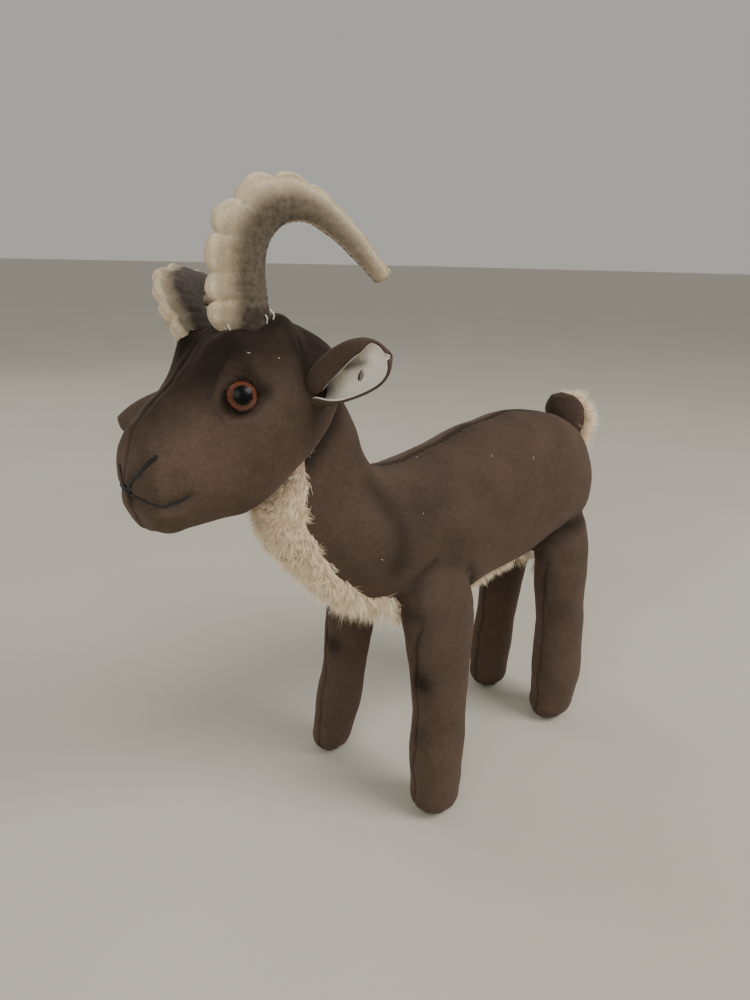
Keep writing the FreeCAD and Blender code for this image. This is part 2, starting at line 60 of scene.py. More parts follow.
def upright(rows):
    """Section rows of a leg or tail, which aren't tilted."""
    return [(x, y, z, 0, width, length) for x, y, z, width, length in rows]


TRUNK = [
    (0, -27.0, 118.5, 20, 7.5, 7.6), (0, -24.0, 107.5, 20, 9.8, 11.0), (0, -21.0, 93.0, 22, 11.0, 14.8),
    (0, -11.6, 86.0, 38, 14.0, 17.6), (0, -0.8, 80.3, 58, 16.3, 21.0), (0, 14.0, 77.0, 80, 17.3, 23.0),
    (0, 32.0, 80.0, 90, 17.5, 23.3), (0, 50.0, 82.0, 90, 17.4, 23.2), (0, 65.0, 81.5, 90, 16.3, 21.3),
    (0, 74.5, 81.0, 90, 13.6, 17.8), (0, 81.5, 80.5, 90, 8.0, 11.0),
]
HEAD = [
    (0, -66.9, 104.4, 90, 6.0, 5.6), (0, -66.0, 104.3, 90, 8.6, 8.6), (0, -63.0, 105.0, 90, 10.6, 12.0),
    (0, -57.0, 108.0, 90, 12.2, 15.0), (0, -50.0, 112.0, 90, 13.5, 19.0),
    (0, -41.0, 114.6, 90, 14.6, 20.2), (0, -32.0, 117.8, 90, 14.2, 16.4),
    (0, -25.0, 119.8, 90, 11.8, 11.8), (0, -20.5, 121.5, 90, 7.0, 7.4),
]
LEGS = {
    "front_left": upright([
        (19.8, 3.5, 0.0, 3.4, 3.7), (19.8, 3.5, 2.5, 5.7, 6.0), (19.7, 3.7, 8.0, 6.8, 7.1),
        (19.4, 3.9, 35.0, 7.0, 7.3), (17.4, 5.0, 50.0, 7.5, 9.8), (14.6, 6.4, 60.0, 7.2, 12.0),
        (10.5, 6.4, 72.0, 5.6, 12.0),
    ]),
    "front_right": upright([
        (-19.8, -3.5, 0.0, 3.2, 3.4), (-19.8, -3.3, 2.5, 5.2, 5.5), (-19.5, -2.2, 8.0, 6.2, 6.5),
        (-17.6, 1.0, 34.0, 6.5, 6.8), (-16.4, 2.6, 50.0, 7.3, 8.2), (-14.0, 3.4, 60.0, 7.0, 9.2),
        (-10.5, 4.0, 72.0, 5.6, 9.6),
    ]),
    "rear_left": upright([
        (12.9, 64.8, 0.0, 3.3, 3.6), (13.1, 65.4, 2.5, 5.8, 6.2), (13.4, 66.4, 9.0, 7.0, 7.8),
        (13.1, 66.0, 34.0, 7.3, 8.2), (12.3, 65.4, 48.0, 7.5, 9.2), (11.0, 66.0, 60.0, 7.0, 10.6),
        (9.0, 66.5, 72.0, 5.6, 9.8),
    ]),
    "rear_right": upright([
        (-12.9, 63.7, 0.0, 3.1, 3.4), (-12.9, 63.7, 2.5, 5.4, 5.8), (-12.9, 63.8, 9.0, 6.4, 7.0),
        (-12.6, 66.0, 34.0, 6.8, 7.6), (-12.0, 66.4, 48.0, 7.3, 9.0), (-11.0, 66.3, 60.0, 7.0, 10.6),
        (-9.0, 66.5, 72.0, 5.6, 9.8),
    ]),
}
TAIL = upright([
    (0, 77.6, 88.0, 3.2, 3.8), (0, 77.4, 94.0, 4.9, 5.8), (0, 77.2, 99.0, 5.9, 7.2),
    (0, 75.2, 104.0, 5.5, 6.6), (0, 73.2, 107.4, 3.2, 3.7),
])

# ---- small tools ----


def unit(v):
    v = np.asarray(v, float)
    return v / np.maximum(np.linalg.norm(v, axis=-1, keepdims=True), 1e-12)


def refine(rows, per_span):
    """Smooth curve through rows of numbers whose first three are a position."""
    rows = np.asarray(rows, float)
    gaps = np.linalg.norm(np.diff(rows[:, :3], axis=0), axis=1) + 1e-6
    at = np.concatenate([[0], np.cumsum(gaps)])
    slope = np.gradient(rows, at, axis=0)
    out = []
    for i, gap in enumerate(gaps):
        for t in np.arange(per_span) / per_span:
            a = 2 * t**3 - 3 * t**2 + 1
            b = (t**3 - 2 * t**2 + t) * gap
            c = -2 * t**3 + 3 * t**2
            d = (t**3 - t**2) * gap
            out.append(a * rows[i] + b * slope[i] + c * rows[i + 1] + d * slope[i + 1])
    out.append(rows[-1])
    return np.array(out)


def tube(centres, axis_a, axis_b, radius_a, radius_b, sides, bulges):
    """Rings joined into a closed tube; each end closes on a point pushed out by its bulge."""
    turn = np.linspace(0, 2 * np.pi, sides, endpoint=False)
    centres = np.asarray(centres, float)
    rings = (
        centres[:, None]
        + np.cos(turn)[None, :, None] * (axis_a * np.reshape(radius_a, (-1, 1)))[:, None]
        + np.sin(turn)[None, :, None] * (axis_b * np.reshape(radius_b, (-1, 1)))[:, None]
    )
    count = len(centres)
    faces = []
    for i in range(count - 1):
        for j in range(sides):
            k = (j + 1) % sides
            faces.append((i * sides + j, i * sides + k, (i + 1) * sides + k, (i + 1) * sides + j))
    first = centres[0] + unit(centres[0] - centres[1]) * bulges[0]
    last = centres[-1] + unit(centres[-1] - centres[-2]) * bulges[1]
    verts = np.concatenate([rings.reshape(-1, 3), [first, last]])
    for j in range(sides):
        k = (j + 1) % sides
        faces.append((len(verts) - 2, k, j))
        faces.append((len(verts) - 1, (count - 1) * sides + j, (count - 1) * sides + k))
    return verts, faces


def form(table, bulges, sides=64):
    """A closed tube through the rows of a section table."""
    rows = refine(table, 8)
    tilt = np.radians(rows[:, 3])
    along = np.stack([np.zeros(len(rows)), np.cos(tilt), np.sin(tilt)], 1)
    across = np.tile([1.0, 0.0, 0.0], (len(rows), 1))
    return tube(rows[:, :3], across, along, rows[:, 4], rows[:, 5], sides, bulges)


def mesh_object(name, verts, faces):
    mesh = bpy.data.meshes.new(name)
    verts = (np.asarray(verts) + FRONT_LINE) * MM
    mesh.from_pydata(verts.tolist(), [], [tuple(map(int, f)) for f in faces])
    mesh.update()
    mesh.polygons.foreach_set("use_smooth", [True] * len(mesh.polygons))
    obj = bpy.data.objects.new(name, mesh)
    bpy.context.collection.objects.link(obj)
    return obj


def points(mesh):
    flat = np.empty(len(mesh.vertices) * 3)
    mesh.vertices.foreach_get("co", flat)
    return flat.reshape(-1, 3) / MM - FRONT_LINE


def set_points(mesh, verts):
    mesh.vertices.foreach_set("co", ((np.asarray(verts) + FRONT_LINE) * MM).ravel())
    mesh.update()


def normals(mesh):
    flat = np.empty(len(mesh.vertices) * 3)
    mesh.vertex_normals.foreach_get("vector", flat)
    return flat.reshape(-1, 3)


def merged(parts):
    verts, faces, start = [], [], 0
    for part_verts, part_faces in parts:
        verts.append(part_verts)
        faces += [tuple(i + start for i in f) for f in part_faces]
        start += len(part_verts)
    return np.concatenate(verts), faces


def remeshed(name, parts, voxel, rounds):
    """One skin over several closed forms, softened where they join."""
    obj = mesh_object(name, *merged(parts))
    remesh = obj.modifiers.new("skin", "REMESH")
    remesh.mode = "VOXEL"
    remesh.voxel_size = voxel * MM
    soften = obj.modifiers.new("soften", "SMOOTH")
    soften.factor = 0.5
    soften.iterations = rounds
    graph = bpy.context.evaluated_depsgraph_get()
    mesh = bpy.data.meshes.new_from_object(obj.evaluated_get(graph))
    bpy.data.objects.remove(obj)
    return mesh


def bump(distance, width):
    """1 on a line, fading to nothing over about two widths."""
    return np.exp(-((distance / width) ** 2))


def ramp(value, low, high):
    t = np.clip((value - low) / (high - low), 0, 1)
    return t * t * (3 - 2 * t)


def path_distance(places, path):
    """Distance from each place to a polyline, in as many dimensions as the two have."""
    path = np.asarray(path, float)
    best = np.full(len(places), 1e9)
    for a, b in zip(path[:-1], path[1:]):
        d = b - a
        t = np.clip(((places - a) @ d) / (d @ d), 0, 1)
        best = np.minimum(best, np.linalg.norm(places - a - t[:, None] * d, axis=1))
    return best


def wobble(places, size, seed):
    """Smooth unevenness of that size in mm, about -1 to 1."""
    dice = np.random.default_rng(seed)
    total = np.zeros(len(places))
    for _ in range(7):
        wave = unit(dice.normal(size=3)) * 2 * np.pi / size * dice.uniform(0.6, 1.6)
        total += np.sin(places @ wave + dice.uniform(0, 2 * np.pi))
    return total / 3.4


def both_sides(path):
    """A path on the animal's left, and its mirror image."""
    path = np.asarray(path, float)
    return path, path * [-1, 1, 1]


def store(obj, name, values):
    attribute = obj.data.attributes.new(name, "FLOAT", "POINT")
    attribute.data.foreach_set("value", np.asarray(values, np.float32))


def tree_of(mesh):
    """A search tree over a mesh, in the same millimetres as points()."""
    return BVHTree.FromPolygons(points(mesh).tolist(), [tuple(p.vertices) for p in mesh.polygons])


def on_surface(tree, places, lift=0.0):
    """Nearest places on a surface, lifted off it, and the surface's normals there."""
    found, facing = [], []
    for place in places:
        hit, normal, _, _ = tree.find_nearest(tuple(place))
        found.append(np.array(hit) + np.array(normal) * lift)
        facing.append(np.array(normal))
    return np.array(found), np.array(facing)


def sheet_solid(name, verts, faces, outward, thickness):
    """A skin given thickness towards its inside and closed round its edges."""
    verts = np.asarray(verts, float)
    count = len(verts)
    once = {}
    for f in faces:
        for a, b in zip(f, tuple(f[1:]) + (f[0],)):
            key = (min(a, b), max(a, b))
            once[key] = None if key in once else (a, b)
    solid = [tuple(f) for f in faces]
    solid += [tuple(i + count for i in reversed(f)) for f in faces]
    solid += [(b, a, a + count, b + count) for a, b in (e for e in once.values() if e)]
    return mesh_object(name, np.concatenate([verts, verts - outward * thickness]), solid)


def cut_along(mesh, planes):
    """Adds clean edges where each (point, normal) plane crosses the mesh."""
    bm = bmesh.new()
    bm.from_mesh(mesh)
    for point, normal in planes:
        everything = bm.verts[:] + bm.edges[:] + bm.faces[:]
        where = Vector((np.array(point, float) + FRONT_LINE) * MM)
        bmesh.ops.bisect_plane(bm, geom=everything, dist=1e-8, plane_co=where, plane_no=Vector(normal))
    bm.to_mesh(mesh)
    bm.free()
    mesh.update()


def panels(mesh, zone_of, thickness, shade):
    """Splits a skin into closed panels by where the middle of each face lies."""
    verts = points(mesh)
    outward = normals(mesh)
    dark = shade(verts, outward)
    faces = [tuple(p.vertices) for p in mesh.polygons]
    middles = np.array([verts[list(f)].mean(0) for f in faces])
    zones = zone_of(middles)
    made = {}
    for zone in sorted(set(zones)):
        own = [f for f, z in zip(faces, zones) if z == zone]
        used = sorted({i for f in own for i in f})
        place = {old: new for new, old in enumerate(used)}
        own = [tuple(place[i] for i in f) for f in own]
        obj = sheet_solid(zone, verts[used], own, outward[used], thickness)
        store(obj, "shade", np.tile(dark[used], 2))
        obj.data.normals_split_custom_set_from_vertices(np.tile(outward[used], (2, 1)).tolist())
        made[zone] = obj
    return made


def fibres(name, roots, facing, lean, length, width, seed):
    """Tapered pile fibres: one strip each, leaning together in small locks."""
    dice = np.random.default_rng(seed)
    count = len(roots)
    clump, untidy, steps = 1.6, 0.3, 3
    cell = np.floor(roots / clump + 0.35 * np.sin(roots[:, [1, 2, 0]] * 1.7)).astype(int)
    locks = 9973
    key = (cell * [73856093, 19349663, 83492791]).sum(1) % locks  # large factors scatter the cells
    lock = dice.normal(size=(locks, 3))[key]
    lock_length = dice.uniform(0.75, 1.15, locks)[key]
    way = unit(facing + lean + 0.34 * lock + untidy * dice.normal(size=(count, 3)))
    bend = 0.45 * lock + 0.35 * dice.normal(size=(count, 3)) + 0.5 * lean
    side = unit(np.cross(way, dice.normal(size=(count, 3))))
    long = length * lock_length * dice.uniform(0.7, 1.1, count)
    thick = width * dice.uniform(0.7, 1.2, count)
    rows = []
    for k in range(steps):
        t = k / steps
        spine = roots + way * (long * t)[:, None] + bend * (long * 0.5 * t * t)[:, None]
        half = side * (thick * (1 - 0.75 * t) * 0.5)[:, None]
        rows += [spine - half, spine + half]
    rows.append(roots + way * long[:, None] + bend * (long * 0.5)[:, None])
    per = 2 * steps + 1
    verts = np.stack(rows, 1).reshape(-1, 3)
    first = np.arange(count) * per
    faces = []
    for k in range(steps - 1):
        a = first + 2 * k
        faces.append(np.stack([a, a + 1, a + 3], 1))
        faces.append(np.stack([a, a + 3, a + 2], 1))
    a = first + 2 * (steps - 1)
    faces.append(np.stack([a, a + 1, a + 2], 1))
    obj = mesh_object(name, verts, np.concatenate(faces))
    store(obj, "tone", np.repeat(dice.uniform(0, 1, count), per))
    along = np.array([k / steps for k in range(steps) for _ in (0, 1)] + [1.0])
    store(obj, "along", np.tile(along, count))
    return obj


def scattered(verts, faces, keep, per_mm2, seed):
    """Random places over the faces whose middles pass keep(), with face normals."""
    dice = np.random.default_rng(seed)
    tris = np.array([(f[0], f[i], f[i + 1]) for f in faces for i in range(1, len(f) - 1)])
    a, b, c = verts[tris[:, 0]], verts[tris[:, 1]], verts[tris[:, 2]]
    cross = np.cross(b - a, c - a)
    area = np.linalg.norm(cross, axis=1) / 2 * keep((a + b + c) / 3)
    count = int(area.sum() * per_mm2)
    chosen = dice.choice(len(tris), count, p=area / area.sum())
    u, v = dice.uniform(size=(2, count))
    flip = u + v > 1
    u[flip], v[flip] = 1 - u[flip], 1 - v[flip]
    spots = a[chosen] + u[:, None] * (b - a)[chosen] + v[:, None] * (c - a)[chosen]
    return spots, unit(cross[chosen])


def strand(path, facing, radius, sides, swing=0.0, phase=0.0):
    """A thread along a path, wound round it if it has a swing."""
    path = np.asarray(path, float)
    ahead = unit(np.gradient(path, axis=0))
    over = unit(facing - (facing * ahead).sum(1, keepdims=True) * ahead)
    across = np.cross(ahead, over)
    gone = np.concatenate([[0], np.cumsum(np.linalg.norm(np.diff(path, axis=0), axis=1))])
    pitch = 1.7
    angle = gone / pitch * 2 * np.pi + phase
    centre = path + swing * (np.cos(angle)[:, None] * over + np.sin(angle)[:, None] * across)
    return tube(centre, over, across, radius, radius, sides, (radius * 0.5, radius * 0.5))


def smooth_path(stops, gap):
    """Evenly close points along a smooth curve through a few stops."""
    fine = refine(stops, 24)
    gone = np.concatenate([[0], np.cumsum(np.linalg.norm(np.diff(fine, axis=0), axis=1))])
    at = np.linspace(0, gone[-1], max(int(gone[-1] / gap), 4))
    return np.stack([np.interp(at, gone, fine[:, i]) for i in range(3)], 1)


def finished(obj, material, body, nodes=()):
    """Gives a piece its material, hides the parts it stands for and hangs it on its body's empty; a piece
    given a bend is only set in place, as the bend is not used.
    """
    obj.data.materials.clear()
    obj.data.materials.append(material)
    if nodes:
        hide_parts(*nodes)
    if isinstance(body, str):
        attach(obj, body)
    else:
        moving, start, end = body
        start = (np.array(start) + FRONT_LINE) * MM
        end = (np.array(end) + FRONT_LINE) * MM
        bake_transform(obj)


# ---- materials ----


class Look:
    """A node material: fixed shader settings, and noise for colour and relief."""

    def __init__(self, name, **fixed):
        self.material = bpy.data.materials.new(name)
        self.material.use_nodes = True
        self.tree = self.material.node_tree
        self.shader = self.tree.nodes["Principled BSDF"]
        for key, value in fixed.items():
            self.shader.inputs[key.replace("_", " ")].default_value = value
        self.place = self.tree.nodes.new("ShaderNodeTexCoord").outputs["Object"]

    def node(self, kind, inputs=(), **settings):
        made = self.tree.nodes.new(kind)
        for key, value in settings.items():
            setattr(made, key, value)
        self.plug(made, dict(inputs))
        return made

    def plug(self, made, inputs):
        for key, value in inputs.items():
            if isinstance(value, bpy.types.NodeSocket):
                self.tree.links.new(value, made.inputs[key])
            else:
                made.inputs[key].default_value = value

    def noise(self, size, detail=2.0, rough=0.5):
        """Noise with lumps of that size in millimetres."""
        values = {"Vector": self.place, "Scale": 1 / (size * MM), "Detail": detail, "Roughness": rough}
        return self.node("ShaderNodeTexNoise", values).outputs["Fac"]

    def stored(self, name):
        return self.node("ShaderNodeAttribute", attribute_name=name).outputs["Fac"]

    def maths(self, operation, a, b, clamp=False):
        return self.node("ShaderNodeMath", {0: a, 1: b}, operation=operation, use_clamp=clamp).outputs[0]

    def spread(self, value, low, high, to_low=0.0, to_high=1.0):
        values = {"Value": value, "From Min": low, "From Max": high, "To Min": to_low, "To Max": to_high}
        return self.node("ShaderNodeMapRange", values).outputs["Result"]

    def mix(self, share, a, b, blend="MIX"):
        made = self.node("ShaderNodeMix", data_type="RGBA", blend_type=blend)
        self.plug(made, {0: share, 6: a, 7: b})
        return made.outputs[2]

    def toned(self, colour, tone):
        """A colour made lighter and darker by a number near 1."""
        grey = self.node("ShaderNodeCombineColor", {0: tone, 1: tone, 2: tone}).outputs[0]
        return self.mix(1.0, colour, grey, "MULTIPLY")

    def relief(self, height, depth, under=None):
        """Fine relief, depth in millimetres."""
        values = {"Height": height, "Strength": 1.0, "Distance": depth * MM}
        if under is not None:
            values["Normal"] = under
        return self.node("ShaderNodeBump", values).outputs["Normal"]

    def finish(self, colour, normal=None):
        self.tree.links.new(colour, self.shader.inputs["Base Color"])
        if normal is not None:
            self.tree.links.new(normal, self.shader.inputs["Normal"])
        return self.material


def rgb(red, green, blue):
    """Eight-bit screen colour as linear light."""
    levels = [c / 255 for c in (red, green, blue)]
    linear = [c / 12.92 if c <= 0.04045 else ((c + 0.055) / 1.055) ** 2.4 for c in levels]
    return (*linear, 1.0)


def velvet_look(name, pale, dark):
    """Short brushed pile, darkened where the stored shade is high: airbrushed tone, and painted shade in
    creases and beside the head.
    """
    look = Look(name, Roughness=0.92, Sheen_Weight=0.22, Sheen_Roughness=0.45, Specular_IOR_Level=0.10)
    look.shader.inputs["Sheen Tint"].default_value = rgb(190, 165, 148)
    cloudy = look.spread(look.noise(9.0), 0.3, 0.7, -0.10, 0.10)
    shade = look.maths("ADD", look.stored("shade"), cloudy, clamp=True)
    colour = look.mix(shade, pale, dark)
    nap = look.spread(look.noise(1.5, 4.0, 0.6), 0.3, 0.7, 0.90, 1.09)
    pile = look.spread(look.noise(0.42, 2.0, 0.6), 0.3, 0.7, 0.82, 1.18)
    colour = look.toned(colour, look.maths("MULTIPLY", nap, pile))
    soft = look.relief(look.noise(2.2, 3.0), 0.16)
    return look.finish(colour, look.relief(look.noise(0.34, 2.0), 0.11, soft))


def fibre_look(name, root, tip):
    look = Look(name, Roughness=0.8, Sheen_Weight=0.5, Sheen_Roughness=0.5, Specular_IOR_Level=0.1)
    colour = look.mix(look.spread(look.stored("along"), 0.0, 0.75), root, tip)
    each = look.spread(look.stored("tone"), 0, 1, 0.90, 1.08)
    locks = look.spread(look.noise(5.0), 0.3, 0.7, 0.93, 1.05)
    return look.finish(look.toned(colour, look.maths("MULTIPLY", each, locks)))


def felt_look(name, pale, shaded):
    """Matted wool felt: fine fibres, soft lumps and the stored shade, which is airbrushed tone in places
    and painted shade in folds and creases.
    """
    look = Look(name, Roughness=0.95, Sheen_Weight=0.12, Sheen_Roughness=0.6, Specular_IOR_Level=0.1)
    cloudy = look.spread(look.noise(1.1, 4.0), 0.3, 0.7, -0.05, 0.05)
    shade = look.maths("ADD", look.stored("shade"), cloudy, clamp=True)
    colour = look.mix(shade, pale, shaded)
    colour = look.toned(colour, look.spread(look.noise(0.5, 4.0, 0.7), 0.25, 0.75, 0.80, 1.18))
    lumps = look.relief(look.noise(1.7, 4.0, 0.6), 0.22)
    return look.finish(colour, look.relief(look.noise(0.38, 4.0, 0.7), 0.12, lumps))


def thread_look(name, pale, dark):
    """Spun thread with a fine twist across it."""
    look = Look(name, Roughness=0.7, Sheen_Weight=0.2, Sheen_Roughness=0.5, Specular_IOR_Level=0.3)
    colour = look.mix(look.spread(look.noise(0.35, 3.0), 0.3, 0.7), pale, dark)
    return look.finish(colour, look.relief(look.noise(0.22, 2.0), 0.06))


def eye_look(name, inner, bright, rim):
    """Painted glass: the iris colour changes with distance from the eye's middle."""
    look = Look(name, Roughness=0.3, Coat_Weight=0.45, Coat_Roughness=0.02, Specular_IOR_Level=0.2)
    out = look.stored("radial")
    streaks = look.spread(look.noise(0.5, 3.0), 0.3, 0.7, -0.05, 0.05)
    out = look.maths("ADD", out, streaks)
    colour = look.mix(look.spread(out, 0.56, 0.74), inner, bright)
    colour = look.mix(look.spread(out, 0.84, 0.94), colour, rim)
    return look.finish(colour)


def gloss_look(name, pale, dark, size, rough, coat, metallic=0.0):
    look = Look(name, Roughness=rough, Coat_Weight=coat, Coat_Roughness=0.03, Metallic=metallic,
                Specular_IOR_Level=0.5 if metallic else 0.1)
    return look.finish(look.mix(look.noise(size, 3.0), pale, dark))


VELVET = velvet_look("brown_velvet_pile", rgb(84, 69, 59), rgb(30, 24, 20))
MOHAIR = fibre_look("cream_mohair_pile", rgb(226, 203, 168), rgb(250, 234, 206))
MOHAIR_BASE = felt_look("cream_mohair_backing", rgb(226, 202, 178), rgb(180, 156, 134))
HORN_FELT = felt_look("horn_felt", rgb(206, 188, 158), rgb(52, 43, 35))
PALE_FELT = felt_look("pale_felt", rgb(186, 166, 146), rgb(52, 44, 38))
LINING = felt_look("pale_ear_lining", rgb(226, 220, 208), rgb(110, 102, 92))
BLACK_THREAD = thread_look("black_thread", rgb(9, 8, 8), rgb(22, 19, 17))
BROWN_THREAD = thread_look("brown_thread", rgb(38, 31, 27), rgb(62, 52, 45))
WHITE_THREAD = thread_look("white_thread", rgb(232, 228, 218), rgb(196, 190, 178))
LINT = thread_look("lint", rgb(226, 220, 210), rgb(190, 184, 174))
IRIS = eye_look("amber_glass", rgb(24, 11, 7), rgb(92, 46, 26), rgb(20, 10, 8))
PUPIL = gloss_look("black_pupil", rgb(1, 1, 1), rgb(3, 3, 4), 2.0, 0.4, 0.12)
STEEL = gloss_look("brushed_steel", rgb(168, 168, 170), rgb(120, 120, 122), 0.4, 0.32, 0.0, 1.0)
CLASP = gloss_look("clasp_metal", rgb(176, 172, 160), rgb(110, 106, 98), 0.3, 0.3, 0.0, 1.0)

for node_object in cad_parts.values():
    for used_slot in node_object.material_slots:
        used_slot.material = STEEL

# ---- trunk and legs ----

SHOULDER_CREASE = [(-13.5, 95.5), (-10.5, 90.2), (-8.3, 85.9), (-7.9, 79.3), (-9.0, 74.0)]
HIP_CREASE = [(74.0, 71.2), (63.0, 69.9), (57.5, 67.6), (53.0, 64.5), (51.5, 60.0)]
LEG_TOP_CREASE = [(-4.6, 61.0), (-4.2, 66.0), (-1.4, 70.8), (2.4, 73.6)]
ELBOW_CREASE = [(16.0, 68.5), (19.5, 64.0), (22.0, 58.0)]
KNEE_SIZE = (3.6, 3.2, 3.4)
# dark airbrushed spots on the legs: place, strength
KNEE_SPOTS = [(20.0, -4.0, 43.5, 0.75), (-16.0, -5.0, 39.0, 0.8), (19.5, -3.5, 26.0, 0.25)]
LEGS_PART = 32  # y between the front legs and the rear legs
LEG_SPLIT = {"front": 18.6, "rear": 12.8}
LEG_TOP = {"front": 46.0, "rear": 48.0}
BIB_HALF = {"front": 8.5, "rear": 4.6}
BIB_STEP = 45  # y where the gusset narrows
BIB_CHEST = 66  # z below which it runs on under the belly
BIB_RUMP = 68  # z above which it is cut back to the rump
BIB_FRONT_LINE = [(-32, 124), (-22, 96), (-14, 84), (-4, 74), (10, 66)]


def flank_line(places, path, width):
    """A soft line on both flanks, drawn as (y, z) points."""
    return bump(path_distance(places[:, 1:], path), width) * ramp(np.abs(places[:, 0]), 3.5, 7.5)


def back_top(places, facing):
    """1 along the top of the back, where the animal was stuffed and sewn shut."""
    y = places[:, 1]
    within = ramp(y, -7, -3) * ramp(-y, -73, -68)
    return ramp(facing[:, 2], 0.1, 0.6) * within * ramp(places[:, 2], 86, 92)


def leg_seam(places, facing):
    """Seams up the front and back of each leg."""
    x, y, z = places.T
    split = np.where(y < LEGS_PART, LEG_SPLIT["front"], LEG_SPLIT["rear"])
    low = 1 - ramp(z, 52, 64)
    line = bump(np.abs(x) - split + 0.25 * np.sin(z * 0.5), 0.55)
    return line * low * ramp(np.abs(facing[:, 1]), 0.2, 0.6)


def shape_body(mesh):
    v, n = points(mesh), normals(mesh)
    x, y, z = v.T
    out = 0.30 * wobble(v, 24, 1) + 0.10 * wobble(v, 8, 2)
    top = back_top(v, n)
    out -= 0.60 * top * bump(x + 0.15 * np.sin(y * 0.9), 0.60)
    out += 0.10 * top * bump(np.abs(x) - 1.8, 1.1) * (1 + 0.4 * np.sin(y * 2.6))
    throat = ramp(-n[:, 1], 0.15, 0.6) * ramp(z, 60, 70) * (1 - ramp(z, 104, 118)) * (y < 2)
    out += 2.0 * throat * (1 - ramp(np.abs(x), 5, 10))
    out -= 0.60 * flank_line(v, SHOULDER_CREASE, 2.1)
    out += 0.25 * flank_line(v, [(a + 4.0, b - 1.0) for a, b in SHOULDER_CREASE], 3.0)
    out -= 1.00 * flank_line(v, HIP_CREASE, 1.8)
    out -= 0.60 * flank_line(v, LEG_TOP_CREASE, 1.4)
    out -= 0.60 * flank_line(v, ELBOW_CREASE, 1.6)
    out -= 0.42 * leg_seam(v, n)
    foot = (1 - ramp(z, 1.0, 5.0)) * ramp(z, 0.0, 0.8)
    for table in LEGS.values():
        cx, cy = table[1][0], table[1][1]
        near = np.hypot(x - cx, y - cy) < 11
        turn = np.arctan2(y - cy, x - cx)
        out -= np.where(near, 0.30 * foot * (0.5 + 0.5 * np.cos(9 * turn + cx)), 0)
    v = v + n * out[:, None]
    v[:, 2] = np.maximum(v[:, 2], 0.0)
    set_points(mesh, v)


def in_bib(places):
    """The mohair gusset: a strip down the throat and chest, and on under the belly."""
    x, y, z = np.abs(places[:, 0]), places[:, 1], places[:, 2]
    line = np.array(BIB_FRONT_LINE)
    edge = np.interp(z, line[::-1, 1], line[::-1, 0])
    under = (z <= BIB_CHEST) & (z > 30)
    front = (y < BIB_STEP) & (x < BIB_HALF["front"]) & (((z > BIB_CHEST) & (y < edge)) | under)
    back_edge = np.interp(z, [30, 70, 84, 88], [100, 70, 76, 100])
    rump = ((z < BIB_RUMP) | (y > back_edge)) & (z > 30) & (z < 88)
    return front | ((y >= BIB_STEP) & (x < BIB_HALF["rear"]) & rump)


def body_zone(middles):
    x, y, z = middles.T
    side = np.where(x > 0, "left", "right")
    front = y < LEGS_PART
    split = np.where(front, LEG_SPLIT["front"], LEG_SPLIT["rear"])
    top = np.where(front, LEG_TOP["front"], LEG_TOP["rear"])
    inner = (z < top) & (np.abs(x) < split)
    names = np.char.add("body_side_", side)
    leg = np.char.add(np.where(front, "leg_inner_front_", "leg_inner_rear_"), side)
    names = np.where(inner, leg, names)
    return np.where(in_bib(middles) & ~inner, "bib_belly_gusset", names)


def body_shade(places, facing):
    """How dark the velvet is: its airbrushed tone, and painted shade in the flank creases and under the
    head.
    """
    x, y, z = places.T
    dark = 0.24 - 0.14 * (1 - ramp(z, 30, 62)) + 0.06 * wobble(places, 30, 5)
    shoulder = path_distance(places[:, 1:], [(-2, 98), (0, 88), (4, 76)])
    dark += 0.16 * bump(shoulder, 9.0) * ramp(np.abs(x), 6, 12)
    dark += 0.34 * back_top(places, facing) * bump(x, 2.0)
    dark += 0.22 * ramp(z, 94, 104) * ramp(y, -8, 6) * bump(x, 9.0)
    # painted shade in the shoulder, hip, leg-top and elbow creases
    dark += 0.35 * flank_line(places, SHOULDER_CREASE, 3.0)
    dark += 0.65 * flank_line(places, HIP_CREASE, 2.8) * ramp(y, 48, 53)
    dark += 0.40 * flank_line(places, LEG_TOP_CREASE, 1.8)
    dark += 0.30 * flank_line(places, ELBOW_CREASE, 2.4)
    dark += 0.42 * leg_seam(places, facing)
    dark += 0.42 * (1 - ramp(z, 0.5, 6.0))
    for *knee, strength in KNEE_SPOTS:
        spot = np.linalg.norm((places - knee) / KNEE_SIZE, axis=1)
        dark += strength * np.exp(-spot**2)
    # painted shade on the neck and throat, under and behind the overhanging head
    near_head = head_distance(places)
    dark += 0.60 * bump(near_head, 2.6) * ramp(facing[:, 0] ** 2 + facing[:, 1] ** 2, 0.1, 0.5)
    return np.clip(dark, 0, 1)


def head_distance(places):
    """Distance to the head, within 12 mm of it."""
    gap = np.full(len(places), 50.0)
    for i in np.nonzero(places[:, 2] > 88)[0]:
        hit = HEAD_TREE.find_nearest(tuple(places[i]), 12.0)
        if hit[3] is not None:
            gap[i] = hit[3]
    return gap


# ---- head ----

SKIN = 0.8  # thickness of the velvet and mohair panels
EYE_RADIUS = 3.1
EYE_CENTRE = np.array([12.6, -48.6, 121.2])
EYE_AXIS = unit([0.88, -0.38, 0.28])
